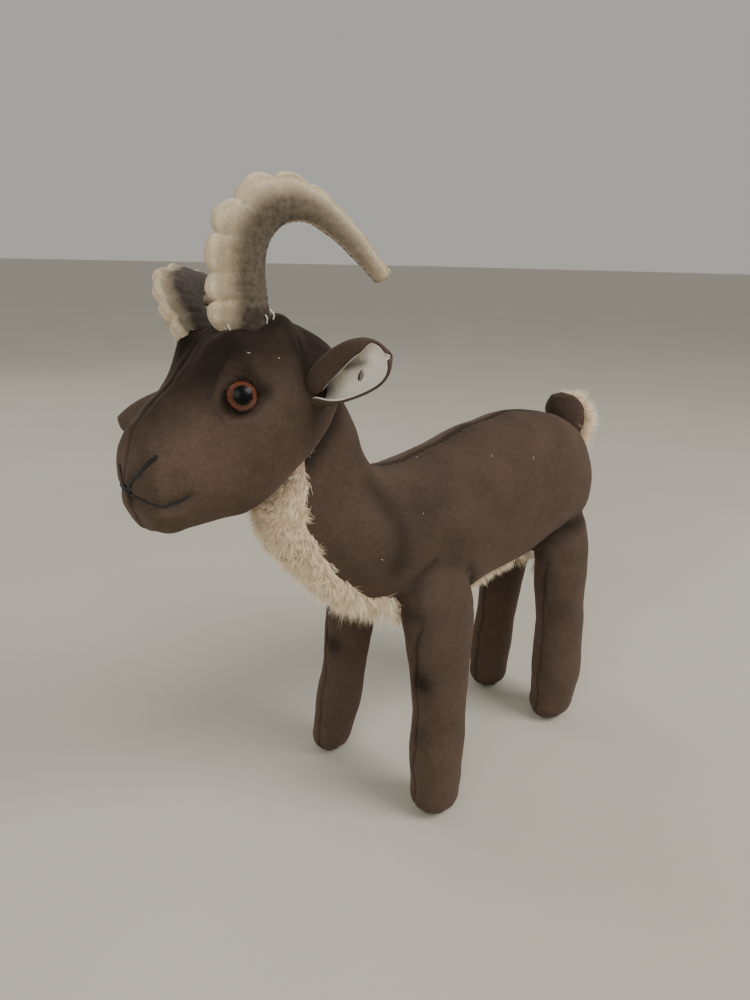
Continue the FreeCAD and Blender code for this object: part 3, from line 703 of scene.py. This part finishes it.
# airbrushed spots round the eye: place, size, strength
EYE_SPOTS = [
    (13.6, -43.6, 122.0, 2.0, 0.62), (12.6, -53.2, 118.4, 1.7, 0.34), (13.0, -48.6, 121.2, 4.2, 0.22),
]
MOUTH = both_sides([(0.0, -67.0, 102.3), (2.6, -66.9, 101.9), (5.6, -66.2, 101.7), (8.2, -64.4, 101.8),
                    (10.0, -62.0, 102.2), (11.0, -60.0, 102.9)])
NOSTRIL = both_sides([(0.0, -67.2, 102.3), (2.0, -67.0, 104.6), (4.2, -66.4, 106.8), (6.4, -65.0, 109.0),
                      (7.4, -63.8, 110.4)])
NOSTRIL = (NOSTRIL[0], NOSTRIL[1][:3])  # the right one is sewn shorter
CHIN = np.array([(0.0, -67.2, 103.0), (0.0, -67.0, 100.8), (0.0, -66.2, 98.4), (0.0, -65.0, 96.8)])
TEMPLE = both_sides([(10.4, -33.8, 130.0), (12.6, -33.9, 126.5), (13.8, -34.1, 121.5)])


def drawn(places, paths, width):
    """Soft lines along a few paths."""
    return sum(bump(path_distance(places, path), width) for path in paths)


def seam_line(places):
    """The seam over the muzzle, brow and crown, and under the jaw."""
    return bump(places[:, 0] + 0.12 * np.sin(places[:, 1] * 0.8), 0.55)


def shape_head(mesh):
    v, n = points(mesh), normals(mesh)
    x, y, z = v.T
    lift = np.zeros(len(v))
    out = 0.24 * wobble(v, 15, 11) + 0.08 * wobble(v, 5.5, 12)
    out -= 0.26 * seam_line(v)
    out += 0.08 * bump(np.abs(x) - 1.3, 0.8)
    for sign in (1, -1):
        centre, axis = EYE_CENTRE * [sign, 1, 1], EYE_AXIS * [sign, 1, 1]
        away = v - centre
        along = away @ axis
        beside = np.linalg.norm(away - along[:, None] * axis, axis=1)
        near = np.abs(along) < 6
        out += np.where(near, 0.22 * bump(beside - 5.0, 1.2) - 0.75 * bump(beside - 3.3, 1.1), 0)
        out -= np.where(near & (beside < 3.3), 0.9, 0)
    out -= 0.55 * drawn(v, MOUTH, 1.1) + 0.35 * drawn(v, NOSTRIL, 0.9)
    out -= 0.30 * drawn(v, [CHIN], 0.8) + 0.40 * drawn(v, TEMPLE, 0.8)
    for (hx, hy), reach_x, reach_y in (((7.0, -42.6), 6.6, 7.4), ((-8.0, -47.5), 4.6, 5.5)):
        over = np.hypot((x - hx) / reach_x, (y - hy) / reach_y)
        level = 133.0 + 0.27 * (y + 48) if hx > 0 else 132.6
        raised = (1 - ramp(over, 0.70, 1.70)) * np.clip(level - z, 0, 5.0)
        lift = np.maximum(lift, raised * ramp(z, 122.5, 129.0))
    lips = np.minimum(path_distance(v, MOUTH[0]), path_distance(v, MOUTH[1]))
    out += 0.35 * bump(lips - 2.8, 1.6) * (1 - ramp(z, 99, 101.5))
    v = v + n * out[:, None]
    v[:, 2] += lift
    set_points(mesh, v)


def head_shade(places, facing):
    x, y, z = places.T
    dark = 0.08 + 0.05 * wobble(places, 18, 15)
    crown = z + 0.55 * np.maximum(-y - 44, 0)
    dark += 0.74 * ramp(crown, 120.0, 130.5) * ramp(-np.abs(facing[:, 0]), -1.30, -0.65)
    dark += 0.30 * ramp(z, 118, 131) * (1 - ramp(-y, 50, 62))
    dark += 0.22 * seam_line(places)
    # painted shade on the back of the head, where it sits against the neck
    dark += 0.42 * ramp(y, -37.5, -31.5)
    for sign in (1, -1):
        for *spot, size, strength in EYE_SPOTS:
            far = np.linalg.norm(places - np.array(spot) * [sign, 1, 1], axis=1)
            dark += strength * bump(far, size)
    dark += 0.28 * drawn(places, MOUTH + NOSTRIL, 1.5) + 0.22 * drawn(places, [CHIN], 1.4)
    # painted shade in the temple creases and on the underside of the jaw
    dark += 0.22 * drawn(places, TEMPLE, 0.9)
    dark += 0.38 * ramp(-facing[:, 2], 0.45, 0.9) * ramp(y, -52, -44)
    return np.clip(dark, 0, 1)


def head_zone(middles):
    return np.where(middles[:, 0] > 0, "head_side_left", "head_side_right")


head_skin = remeshed("head_skin", [form(HEAD, bulges=(1.2, 1.5))], 0.40, 6)
shape_head(head_skin)
HEAD_TREE = tree_of(head_skin)
cut_along(head_skin, [((0, 0, 0), (1, 0, 0))])
HEAD_PANELS = panels(head_skin, head_zone, SKIN, head_shade)

leg_forms = [form(table, bulges=(0.3, 2.0)) for table in LEGS.values()]
body_skin = remeshed("body_skin", [form(TRUNK, bulges=(2.0, 2.0))] + leg_forms, 0.60, 14)
shape_body(body_skin)
BODY_TREE = tree_of(body_skin)
body_planes = [((0, 0, 0), (1, 0, 0)), ((0, BIB_STEP, 0), (0, 1, 0))]
body_planes += [((0, 0, level), (0, 0, 1)) for level in (BIB_CHEST, BIB_RUMP)]
for place in list(LEG_SPLIT.values()) + list(BIB_HALF.values()):
    body_planes += [((place, 0, 0), (1, 0, 0)), ((-place, 0, 0), (1, 0, 0))]
body_planes += [((0, 0, top), (0, 0, 1)) for top in LEG_TOP.values()]
for a, b in zip(BIB_FRONT_LINE[:-1], BIB_FRONT_LINE[1:]):
    body_planes.append(((0, a[0], a[1]), (0, b[1] - a[1], a[0] - b[0])))
cut_along(body_skin, body_planes)
BODY_PANELS = panels(body_skin, body_zone, SKIN, body_shade)

FILLING = {"body_side_left": "body_stuffing", "head_side_left": "head_stuffing"}
for corner in LEGS:
    FILLING["leg_inner_" + corner] = "leg_stuffing_" + corner
for name, obj in list(BODY_PANELS.items()) + list(HEAD_PANELS.items()):
    stands_for = [name] + ([FILLING[name]] if name in FILLING else [])
    if name == "bib_belly_gusset":
        finished(obj, MOHAIR_BASE, ANIMAL, stands_for)
    else:
        finished(obj, VELVET, ANIMAL, stands_for)
    obj.name = name + "_skin"


PILE_PER_MM2 = 22.0


def furry(places):
    """1 where the mohair grows, a little over the gusset's edges."""
    x, y, z = np.abs(places[:, 0]), places[:, 1], places[:, 2]
    wide = 8.6 + 0.25 * np.sin(z * 0.9)
    edge = np.interp(z, [66, 74, 84, 96, 124], [10, -4, -14, -22, -32])
    throat = (z > BIB_CHEST) & (x < wide) & (y < edge)
    chest = (z <= BIB_CHEST) & (z > 57.5) & (y < 2) & (x < 10.5 + 0.3 * (y + 8))
    belly = (z <= BIB_CHEST) & (z > 50) & (y >= 2) & (y < BIB_STEP) & (x < 8.7)
    behind = (z < BIB_RUMP) | (y > np.interp(z, [70, 84, 88], [70, 76, 100]))
    rear = (y >= BIB_STEP) & (x < 4.9) & behind & (z > 50) & (z < 87)
    return (throat | chest | belly | rear).astype(float)


body_faces = [tuple(p.vertices) for p in body_skin.polygons]
roots, facing = scattered(points(body_skin), body_faces, furry, PILE_PER_MM2, 31)
free = head_distance(roots) > 0.6
roots, facing = roots[free], facing[free]
lean = np.tile([0.0, 0.0, -0.45], (len(roots), 1)) - [0.16, 0, 0] * np.sign(roots[:, :1])
chest = ramp(-roots[:, 2], -76, -62) * (1 - ramp(roots[:, 1], 5, 20))
length = (2.3 + 1.6 * chest) * (1 - 0.45 * ramp(roots[:, 2], 98, 108))
groups = {"throat_chest": roots[:, 1] < 8, "belly": roots[:, 1] >= 8}
for number, (group, chosen) in enumerate(groups.items()):
    at, out = roots[chosen] - facing[chosen] * 0.2, facing[chosen]
    fur = fibres("mohair_pile_" + group, at, out, lean[chosen], length[chosen], 0.15, 32 + number)
    finished(fur, MOHAIR, ANIMAL)

# ---- eyes ----


def cap(name, centre, axis, share, lift, back):
    """A cap of the glass dome out to that share of its radius, lifted off it and closed behind."""
    up = unit(np.cross(axis, [0, 0, 1]))
    side = np.cross(up, axis)
    sides, dome = 72, 2.4
    out = np.linspace(0.03, 1.0, 30) * share
    height = dome * np.sqrt(np.maximum(1 - (out * 0.985) ** 2, 0)) + lift * (1 - 0.6 * (out / share) ** 4)
    out = np.concatenate([out, [share, share * 0.96]])
    height = np.concatenate([height, [height[-1] - 0.2, back]])
    middles = centre + height[:, None] * axis
    bulges = (dome + lift - height[0], 0)
    wide = EYE_RADIUS * out
    obj = mesh_object(name, *tube(middles, up, side, wide, wide, sides, bulges))
    straighten(obj)
    store(obj, "radial", np.concatenate([np.repeat(out, sides), [0.0, 0.9]]))
    return obj


def straighten(obj):
    """Turns every face of a closed mesh outwards."""
    bm = bmesh.new()
    bm.from_mesh(obj.data)
    bmesh.ops.recalc_face_normals(bm, faces=bm.faces)
    bm.to_mesh(obj.data)
    bm.free()


for side, sign in (("left", 1), ("right", -1)):
    mirror = [sign, 1, 1]
    centre, axis = EYE_CENTRE * mirror, EYE_AXIS * mirror
    glass = cap("eye_glass_dome_" + side, centre, axis, 1.0, 0.0, -0.6)
    finished(glass, IRIS, ANIMAL, ["eye_glass_" + side])
    pupil = cap("eye_pupil_disc_" + side, centre, axis, 0.58, 0.035, 1.5)
    finished(pupil, PUPIL, ANIMAL, ["eye_pupil_" + side])

# ---- embroidered nose and mouth, and the closing stitches ----


def embroidery():
    """Wound threads for the mouth, the nostrils, doubled at their ends, and the chin."""
    doubled = [path[-3:] + [0, 0.0, -0.7] for path in NOSTRIL]
    sewn = [(path, 0.30) for path in MOUTH] + [(path, 0.38) for path in NOSTRIL] + [(CHIN, 0.28)]
    sewn += [(path, 0.32) for path in doubled]
    parts, ply = [], 3
    for path, radius in sewn:
        spots, facing = on_surface(HEAD_TREE, smooth_path(path, 0.18))
        for i in range(ply):
            parts.append(strand(spots, facing, radius * 0.62, 7, radius * 0.42, 2 * np.pi * i / ply))
    return merged(parts)


thread = mesh_object("nose_and_mouth_embroidery", *embroidery())
finished(thread, BLACK_THREAD, ANIMAL, ["nose_mouth_thread"])


def back_stitches():
    """Short slanting ladder stitches that close the back."""
    dice = np.random.default_rng(41)
    parts = []
    start, end, pitch, above = -3.0, 69.0, 2.3, 130.0
    for y in np.arange(start, end, pitch):
        wide = dice.uniform(0.55, 0.8)
        slant = dice.uniform(0.2, 0.6)
        ends = [(-wide, y - slant, above), (0.0, y, above), (wide, y + slant, above)]
        hits = [BODY_TREE.ray_cast(tuple(spot), (0, 0, -1)) for spot in smooth_path(ends, 0.15)]
        spots = np.array([tuple(hit[0]) for hit in hits])
        facing = np.array([tuple(hit[1]) for hit in hits])
        dip = np.sin(np.linspace(0, np.pi, len(spots)))[:, None] * 0.22 - 0.08
        parts.append(strand(spots + facing * dip, facing, 0.13, 6))
    return merged(parts)


closing = mesh_object("back_closing_stitches", *back_stitches())
finished(closing, BROWN_THREAD, ANIMAL, ["back_seam_thread"])

# ---- ears ----

# base, tip, the way the ear opens, and how wide it shows against its pattern
EARS = {
    "left": ((13.3, -31.2, 121.3), (31.3, -28.1, 129.6), (0.31, -0.95, -0.05), 1.0),
    "right": ((-12.4, -40.0, 117.5), (-29.5, -56.8, 109.7), (-0.58, -0.11, -0.81), 1.25),
}
# share of the ear's length, half height, half depth, and how far the upper edge is turned over
EAR_SECTIONS = np.array([
    (0.00, 3.8, 3.3, 206), (0.12, 4.6, 3.3, 204), (0.25, 5.1, 3.1, 190), (0.45, 5.5, 2.7, 172),
    (0.65, 5.4, 2.4, 157), (0.80, 4.8, 2.1, 145), (0.92, 3.5, 1.8, 108), (0.975, 2.1, 1.6, 94),
    (1.0, 0.6, 1.5, 90)])


def ear_frame(side):
    """Root of an ear, its length, and its axes: along it, out of its opening, and up across it."""
    base, tip, opening = (np.array(place) for place in EARS[side][:3])
    axis = unit(tip - base)
    front = unit(opening - (opening @ axis) * axis)
    return base, np.linalg.norm(tip - base), axis, front, np.cross(front, axis)


def ear_sheet(side):
    """The outer cloth of an ear folded like a leaf: its upper edge turns over towards the opening."""
    base, long, axis, front, top = ear_frame(side)
    wide = EARS[side][3]
    rounded_end = 1 - 0.15 * np.cos(np.linspace(0.1, np.pi / 2, 16))
    along = np.concatenate([np.linspace(-0.10, 0.85, 52), rounded_end])
    rise = np.clip(along, 0, 1)
    fine = refine(np.column_stack([EAR_SECTIONS[:, :1] * 10, EAR_SECTIONS[:, 1:]]), 10)
    high, deep, over = [np.interp(rise, fine[:, 0] / 10, fine[:, i])[:, None] for i in (1, 2, 3)]
    share = np.linspace(0, 1, 73)[None, :]
    rise = rise[:, None]
    low = -96 - 56 * (1 - ramp(rise, 0.0, 0.32))
    angle = np.radians(low + (over - low) * share)
    fold = 0.5 * bump(share - 0.40, 0.07) * ramp(rise, 0.25, 0.42) * (1 - ramp(rise, 0.6, 0.85))
    ripple = 0.22 * np.sin(rise * 13 + share * 5) * (0.3 + ramp(np.abs(share - 0.5), 0.3, 0.5))
    curl = 1 - 0.28 * ramp(np.degrees(angle), 110, 200)
    height = wide * high * np.sin(angle) * curl + 0.5 * np.sin(rise * np.pi)
    depth = (deep + ripple) * np.cos(angle) * curl - fold
    spots = base + (along[:, None] * long)[..., None] * axis
    spots = spots + height[..., None] * top - depth[..., None] * front
    rise, share = np.broadcast_arrays(rise, share)
    return spots.reshape(-1, 3), grid_faces(*height.shape), rise.ravel(), share.ravel()


def grid_faces(rows, columns):
    faces = []
    for i in range(rows - 1):
        for j in range(columns - 1):
            a = i * columns + j
            faces.append((a, a + 1, a + columns + 1, a + columns))
    return faces


def grid_normals(spots, faces, towards):
    """Smooth normals of a grid, on the side of a direction."""
    f = np.array(faces)
    cross = np.cross(spots[f[:, 2]] - spots[f[:, 0]], spots[f[:, 3]] - spots[f[:, 1]])
    total = np.zeros_like(spots)
    for corner in range(4):
        np.add.at(total, f[:, corner], cross)
    facing = unit(total)
    return facing if (facing @ towards).mean() > 0 else -facing


def rounded(obj):
    """Rounds the cut edges of a cloth layer."""
    layer = obj.modifiers.new("round", "SUBSURF")
    layer.levels = layer.render_levels = 1
    graph = bpy.context.evaluated_depsgraph_get()
    mesh = bpy.data.meshes.new_from_object(obj.evaluated_get(graph))
    obj.modifiers.clear()
    obj.data = mesh


def ear(side):
    base, _, axis, front, _ = ear_frame(side)
    cloth, faces, rise, share = ear_sheet(side)
    back = grid_normals(cloth, faces, -front)
    bend = (side + "_ear", base, base + axis * 5.5)
    for inner in (False, True):
        spots, facing = (cloth - back * 0.92, -back) if inner else (cloth, back)
        name = ("ear_lining_" if inner else "ear_velvet_") + side
        obj = sheet_solid(name, spots, faces, facing, 0.4 if inner else 0.5)
        straighten(obj)
        if inner:
            # painted shade in the lining's middle fold; the lining is also darker towards the root
            dark = 0.9 * bump(share - 0.40, 0.035) * ramp(rise, 0.28, 0.42) * (1 - ramp(rise, 0.6, 0.8))
            dark += 0.30 * (1 - ramp(rise, 0.0, 0.25))
        else:
            dark = 0.10 + 0.12 * ramp(share, 0.4, 0.7) + 0.20 * (1 - ramp(rise, 0.0, 0.3))
        store(obj, "shade", np.tile(np.clip(dark, 0, 1), 2))
        rounded(obj)
        finished(obj, LINING if inner else VELVET, bend,
                 [name])
        obj.name = name + "_layer"


for side in EARS:
    ear(side)


def clasp():
    """A small plain metal clasp in the fold of the left ear."""
    base, _, axis, front, top = ear_frame("left")
    middle = base + axis * 11.0 - top * 1.2 - front * 1.15
    slant = unit(axis * 0.8 + top * 0.6)
    ends = [middle - slant * 1.25, middle, middle + slant * 1.25]
    path = smooth_path(np.array(ends) + [front * -0.15, front * 0.05, front * -0.15], 0.12)
    over = np.tile(front, (len(path), 1))
    across = np.cross(unit(np.gradient(path, axis=0)), over)
    half = 0.5 * np.sqrt(np.maximum(1 - np.linspace(-0.96, 0.96, len(path)) ** 4, 0.02))
    return tube(path, over, across, half * 0.45, half, 20, (0.06, 0.06))


clip = mesh_object("ear_clasp_plain", *clasp())
straighten(clip)
finished(clip, CLASP, "left_ear", ["ear_clasp_left"])

# ---- tail ----

TAIL_SPLIT = 78.2
tail_skin = remeshed("tail_skin", [form(TAIL, sides=48, bulges=(0.5, 1.4))], 0.32, 4)
tail_places, tail_facing = points(tail_skin), normals(tail_skin)
set_points(tail_skin, tail_places + tail_facing * (0.12 * wobble(tail_places, 6, 51))[:, None])
cut_along(tail_skin, [((0, TAIL_SPLIT, 0), (0, 1, 0))])


def tail_zone(middles):
    return np.where(middles[:, 1] < TAIL_SPLIT, "tail_velvet", "tail_mohair")


def tail_shade(places, facing):
    dark = 0.30 + 0.25 * ramp(places[:, 2], 98, 107) + 0.35 * (1 - ramp(places[:, 2], 90, 96))
    return np.clip(dark, 0, 1)


TAIL_BEND = ("tail", (0, 78.0, 89.0), (0, 79.5, 95.5))
for name, obj in panels(tail_skin, tail_zone, 0.7, tail_shade).items():
    if name == "tail_velvet":
        finished(obj, VELVET, TAIL_BEND, [name, "tail_stuffing"])
    else:
        finished(obj, MOHAIR_BASE, TAIL_BEND, [name])
    obj.name = name + "_skin"


def tail_furry(places):
    return ((places[:, 1] > TAIL_SPLIT - 0.4) & (places[:, 2] > 89)).astype(float)


tail_faces = [tuple(p.vertices) for p in tail_skin.polygons]
roots, facing = scattered(points(tail_skin), tail_faces, tail_furry, PILE_PER_MM2, 52)
lean = np.stack([np.zeros(len(roots)), np.full(len(roots), 0.15), np.full(len(roots), 0.10)], 1)
tail_fur = fibres("tail_mohair_pile", roots - facing * 0.2, facing, lean, 3.2, 0.16, 53)
finished(tail_fur, MOHAIR, TAIL_BEND)

# ---- horns ----

# root, yaw, lean, scallops, then rows of back, rise, travel in degrees, half depth, half width
HORNS = {
    "left": ((6.0, -43.0, 133.0), -15.0, 0.0, 6, [
        (0.6, -4.0, 92, 4.5, 4.0), (-0.1, 5.0, 93, 4.5, 4.0), (-0.4, 12.0, 86, 4.4, 3.9),
        (1.2, 18.2, 62, 4.3, 3.7), (6.2, 22.6, 24, 3.7, 3.3), (12.6, 23.0, -16, 3.0, 2.9),
        (18.8, 19.6, -38, 2.4, 2.5), (24.6, 14.6, -42, 2.0, 2.1), (29.6, 9.6, -46, 1.7, 1.7)]),
    "right": ((-6.3, -45.0, 128.8), 34.6, -47.8, 6, [
        (-1.3, -4.1, 77, 4.5, 4.0), (1.1, 4.6, 68, 4.5, 4.0), (4.6, 10.7, 48, 4.4, 3.9),
        (10.7, 15.1, 18, 4.2, 3.7), (18.6, 15.4, -18, 3.7, 3.3), (23.8, 11.8, -49, 3.1, 2.9),
        (26.4, 6.4, -67, 2.5, 2.5), (28.4, 0.6, -71, 2.1, 2.1), (30.2, -4.8, -71, 1.7, 1.7)]),
}
STRIP = 0.56


def horn_path(table):
    """Fine rows along a horn, the length gone, the way its convex edge faces, and its closing end."""
    rows = refine([(0, b, r, t, d, w) for b, r, t, d, w in table], 34)
    gone = np.concatenate([[0], np.cumsum(np.linalg.norm(np.diff(rows[:, :3], axis=0), axis=1))])
    travel = np.radians(rows[:, 3])
    convex = np.stack([np.zeros(len(rows)), -np.sin(travel), np.cos(travel)], 1)
    close = np.ones(len(rows))
    close[-3:] = [0.86, 0.55, 0.12]
    return rows, gone, convex, close


def lobes(gone, scallops):
    """Height of the scalloped edge over the plain horn, and how deep each place is in a notch."""
    first, pitch = 7.0, 5.2
    phase = (gone - first) / pitch + 0.10 * np.sin(gone * 0.61)
    into = np.abs(phase - np.round(phase)) * 2
    fade = 1 - ramp(gone, first + pitch * (scallops - 2.2), first + pitch * (scallops + 0.8))
    bow = np.sqrt(np.maximum(1 - (0.985 * into) ** 2, 0))
    tall = 0.45 + (2.3 * bow + 0.35) * fade + 0.35 * bow * (1 - fade)
    return tall * (1 - 0.85 * ramp(gone, gone[-1] - 12, gone[-1])), (1 - bow) * fade


def horn_half(table, scallops, sign, near):
    """One felt side, from the strip round to a scalloped edge that the other side meets."""
    rows, gone, convex, close = horn_path(table)
    deep, wide = rows[:, 4], rows[:, 5]
    turn = np.linspace(np.pi - STRIP, 0.0, 54)
    tall, notch = lobes(gone, scallops)
    tall = tall + (-0.05 if near else 0.05)
    towards = np.maximum(np.cos(turn), 0)
    edge = ramp(towards, 0.72, 0.94)
    grid = []
    for i in range(len(rows)):
        lump = 1 + 0.014 * np.sin(gone[i] * 0.9 + turn * 3.0)
        lump += 0.010 * np.sin(gone[i] * 2.3 + turn * 1.3 * sign)
        rim = 0.10 * bump(turn - (np.pi - STRIP), 0.14)
        a = (deep[i] * lump + rim) * np.cos(turn) + tall[i] * towards**2.0
        b = (wide[i] * lump + rim) * np.sin(turn) * (1 - 0.22 * edge * (1 - towards**10))
        b = b - 0.80 * notch[i] * edge * np.sin(turn)
        b = b + 0.35 * (1 - notch[i]) * bump(towards - 0.95, 0.05)
        b = b - 0.45 * bump(towards - 0.80, 0.07) * (1 - 0.7 * ramp(gone[i], 30, 44))
        b = np.maximum(b, 0.55 * np.sqrt(np.maximum(1 - (np.maximum(towards - 0.8, 0) / 0.2) ** 2, 0)))
        offset = (0.30 * np.sin(gone[i] * 0.8) + 0.16 * np.sin(gone[i] * 2.1 + 1)) * towards**5
        b[-1] = 0.0
        across = (sign * b + offset) * close[i]
        grid.append(rows[i, :3] + (a * close[i])[:, None] * convex[i] + across[:, None] * [1.0, 0, 0])
    share = np.tile((np.pi - turn) / np.pi, (len(rows), 1))
    return np.array(grid), share, gone


def horn_strip(table):
    """The paler strip let in along the inside of the curve, puckered by its seams."""
    rows, gone, convex, close = horn_path(table)
    deep, wide = rows[:, 4], rows[:, 5]
    turn = np.linspace(np.pi - STRIP - 0.04, np.pi + STRIP + 0.04, 25)
    grid, share = [], []
    for i in range(len(rows)):
        middle = (turn - np.pi) / STRIP
        pucker = 0.10 + 0.16 * ramp(gone[i], 20, 50)
        wave = np.sin(gone[i] * 3.4 + 2.2 * middle + 0.8 * np.sin(gone[i] * 0.7))
        wrinkle = pucker * wave * (0.4 + 0.6 * middle**2)
        sink = -0.30 + 0.22 * (1 - middle**2) + wrinkle
        a = (deep[i] + sink) * np.cos(turn) * close[i]
        b = (wide[i] + sink) * np.sin(turn) * close[i]
        grid.append(rows[i, :3] + a[:, None] * convex[i] + b[:, None] * [1.0, 0, 0])
        share.append(middle)
    return np.array(grid), np.array(share), gone


def stand(spots, root, yaw, lean):
    """Turns a horn drawn in its own plane to its place on the head."""
    tip_over = Matrix.Rotation(math.radians(lean), 3, "Y")
    turn = np.array(Matrix.Rotation(math.radians(yaw), 3, "Z") @ tip_over)
    return spots @ turn.T + np.array(root)


def horn_shade(share, gone, outer):
    """Airbrushed shade: dark on the hollow half of the side, pale to the lobed edge and the tip."""
    long = gone[:, None]
    thin = ramp(long, 26, 48)
    low, high = (0.54, 0.88) if outer else (0.64, 0.98)
    dark = (0.90 if outer else 1.1) * (1 - 0.24 * thin)
    dark = dark * (1 - ramp(share, low - 0.06 * thin, high + 0.06 * thin))
    dark *= 1 - 0.42 * ramp(long, 46, 60)
    dark += 0.20 * (1 - ramp(long, 4, 10))
    dark += 0.10 * bump(share - 0.86, 0.05) + 0.10 * ramp(share, 0.97, 1.0)
    return np.clip(dark, 0, 1)


def horn_piece(name, built, facing_from, horn, thickness):
    """A cloth of the horn, from its grid of places in the horn's own plane."""
    grid = built[0]
    root, yaw, lean = horn
    faces = grid_faces(*grid.shape[:2])
    spots = grid.reshape(-1, 3)
    facing = stand(grid_normals(spots, faces, np.array(facing_from)), (0, 0, 0), yaw, lean)
    obj = sheet_solid(name, stand(spots, root, yaw, lean), faces, facing, thickness)
    straighten(obj)
    return obj


for side, (root, yaw, lean, scallops, table) in HORNS.items():
    horn = (root, yaw, lean)
    upward = stand(np.array([[0.0, 0.0, 1.0]]), (0, 0, 0), yaw, lean)[0]
    bend = (side + "_horn", np.array(root) - upward, np.array(root) + upward * 6.0)
    for sign in (1, -1):
        outer = (sign > 0) == (side == "left")
        half = horn_half(table, scallops, sign, outer)
        name = ("horn_outer_felt_" if outer else "horn_inner_felt_") + side
        obj = horn_piece(name, half, [sign, 0, 0], horn, 0.5)
        store(obj, "shade", np.tile(horn_shade(half[1], half[2], outer).ravel(), 2))
        stands_for = [name] + (["horn_stuffing_" + side] if outer else [])
        finished(obj, HORN_FELT, bend, stands_for)
        obj.name = name + "_layer"
    strip = horn_strip(table)
    name = "horn_underside_" + side
    obj = horn_piece(name, strip, [0.0, 0.5, -0.7], horn, 0.4)
    dark = 0.10 + 0.90 * (1 - ramp(strip[2][:, None], 16, 34)) + 0.12 * np.abs(strip[1]) ** 2
    store(obj, "shade", np.tile(np.clip(dark, 0, 1).ravel(), 2))
    finished(obj, PALE_FELT, bend, [name])
    obj.name = name + "_strip"


def horn_stitches(side):
    """Loose white stitches that hold a horn to the head."""
    root, yaw, lean, _, table = HORNS[side]
    dice = np.random.default_rng(61 if side == "left" else 62)
    rows, gone, _, _ = horn_path(table)
    level = rows[np.argmin(np.abs(gone - 6.5))]
    upward = stand(np.array([[0.0, 0.0, 1.0]]), (0, 0, 0), yaw, lean)[0]
    parts = []
    for turn in (0.35, 0.62, 2.2, 2.6, -0.9, -2.1):
        across, along = math.sin(turn), -math.cos(turn)
        low = [across * (level[5] + 0.6), along * (level[4] + 0.6) + level[1], 1.5]
        ends = stand(np.array([low]), root, yaw, lean)
        spot, normal = on_surface(HEAD_TREE, ends)
        above = (spot[0] - np.array(root)) @ upward + dice.uniform(1.6, 2.6)
        high = [across * (level[5] + 0.1), along * (level[4] + 0.1) + level[1], above]
        ends = stand(np.array([low, high]), root, yaw, lean)
        outward = unit(ends[0] - stand(np.array([[0.0, 0.0, 1.5]]), root, yaw, lean)[0])
        middle = (spot[0] + ends[1]) / 2 + outward * 0.35 + 0.2 * dice.normal(size=3)
        path = smooth_path([spot[0] - normal[0] * 0.5, middle, ends[1]], 0.15)
        parts.append(strand(path, np.tile(outward, (len(path), 1)), 0.13, 6))
    return merged(parts)


for side in HORNS:
    stitches = mesh_object("horn_root_stitches_" + side, *horn_stitches(side))
    finished(stitches, WHITE_THREAD, ANIMAL, ["horn_stitches_" + side])


# ---- a few stray white fibres on the velvet ----


def lint(tree, box, count, seed):
    dice = np.random.default_rng(seed)
    parts = []
    for _ in range(count):
        start = dice.uniform(box[0], box[1])
        spots, facing = on_surface(tree, [start], 0.18)
        along = unit(np.cross(facing[0], dice.normal(size=3)))
        bend = unit(np.cross(facing[0], along))
        size = dice.uniform(0.3, 0.9)
        curl = [(t - 0.5, 0.5 * math.sin(3 * t)) for t in (0, 0.35, 0.7, 1.0)]
        path = [spots[0] + size * (along * ahead + bend * aside) for ahead, aside in curl]
        path = smooth_path(path, 0.12)
        parts.append(strand(path, np.tile(facing[0], (len(path), 1)), 0.045, 5))
    return parts


fluff = lint(HEAD_TREE, ((-12, -50, 122), (13, -30, 135)), 6, 71)
fluff += lint(BODY_TREE, ((2, -14, 70), (18, 60, 104)), 5, 72)
specks = mesh_object("lint_specks", *merged(fluff))
finished(specks, LINT, ANIMAL)

# ---- floor, light and camera ----

FLOOR_EDGE = 30000.0
corners = [(x * FLOOR_EDGE, y * FLOOR_EDGE, 0) for x, y in ((-1, -1), (1, -1), (1, 1), (-1, 1))]
floor = mesh_object("floor", corners, [(0, 1, 2, 3)])
floor_look = Look("pale_floor", Roughness=0.45, Specular_IOR_Level=0.25)
grain = floor_look.spread(floor_look.noise(160.0, 3.0), 0.3, 0.7)
stone = floor_look.mix(grain, rgb(186, 181, 169), rgb(194, 189, 178))
floor.data.materials.append(floor_look.finish(stone))

world = bpy.data.worlds.new("studio")
bpy.context.scene.world = world
world.use_nodes = True
world.node_tree.nodes["Background"].inputs["Color"].default_value = rgb(214, 211, 202)
world.node_tree.nodes["Background"].inputs["Strength"].default_value = 0.66


def softbox(name, place, aim, size, power):
    data = bpy.data.lights.new(name, "AREA")
    data.shape = "DISK"
    data.size = size
    data.energy = power
    data.color = (1.0, 0.985, 0.96)
    lamp = bpy.data.objects.new(name, data)
    bpy.context.collection.objects.link(lamp)
    lamp.location = place
    lamp.rotation_euler = (Vector(aim) - Vector(place)).to_track_quat("-Z", "Y").to_euler()


middle = (0.0, 0.0, 0.08)
softbox("key", (0.62, 0.30, 0.75), middle, 0.55, 7.5)
softbox("fill", (0.45, -0.75, 0.55), middle, 0.7, 4.0)
softbox("side", (-0.70, -0.10, 0.50), middle, 0.6, 1.2)

camera = bpy.data.objects.new("camera", bpy.data.cameras.new("camera"))
bpy.context.collection.objects.link(camera)
camera.data.lens = 25.3
camera.data.sensor_width = 36.0
camera.data.clip_start = 0.01
place = Matrix.Translation((0.1308, -0.1247, 0.1460))
right, up, back = (0.644, 0.765, 0.021), (-0.258, 0.191, 0.947), (0.721, -0.615, 0.320)
camera.matrix_world = place @ Matrix((right, up, back)).transposed().to_4x4()
bpy.context.scene.camera = camera
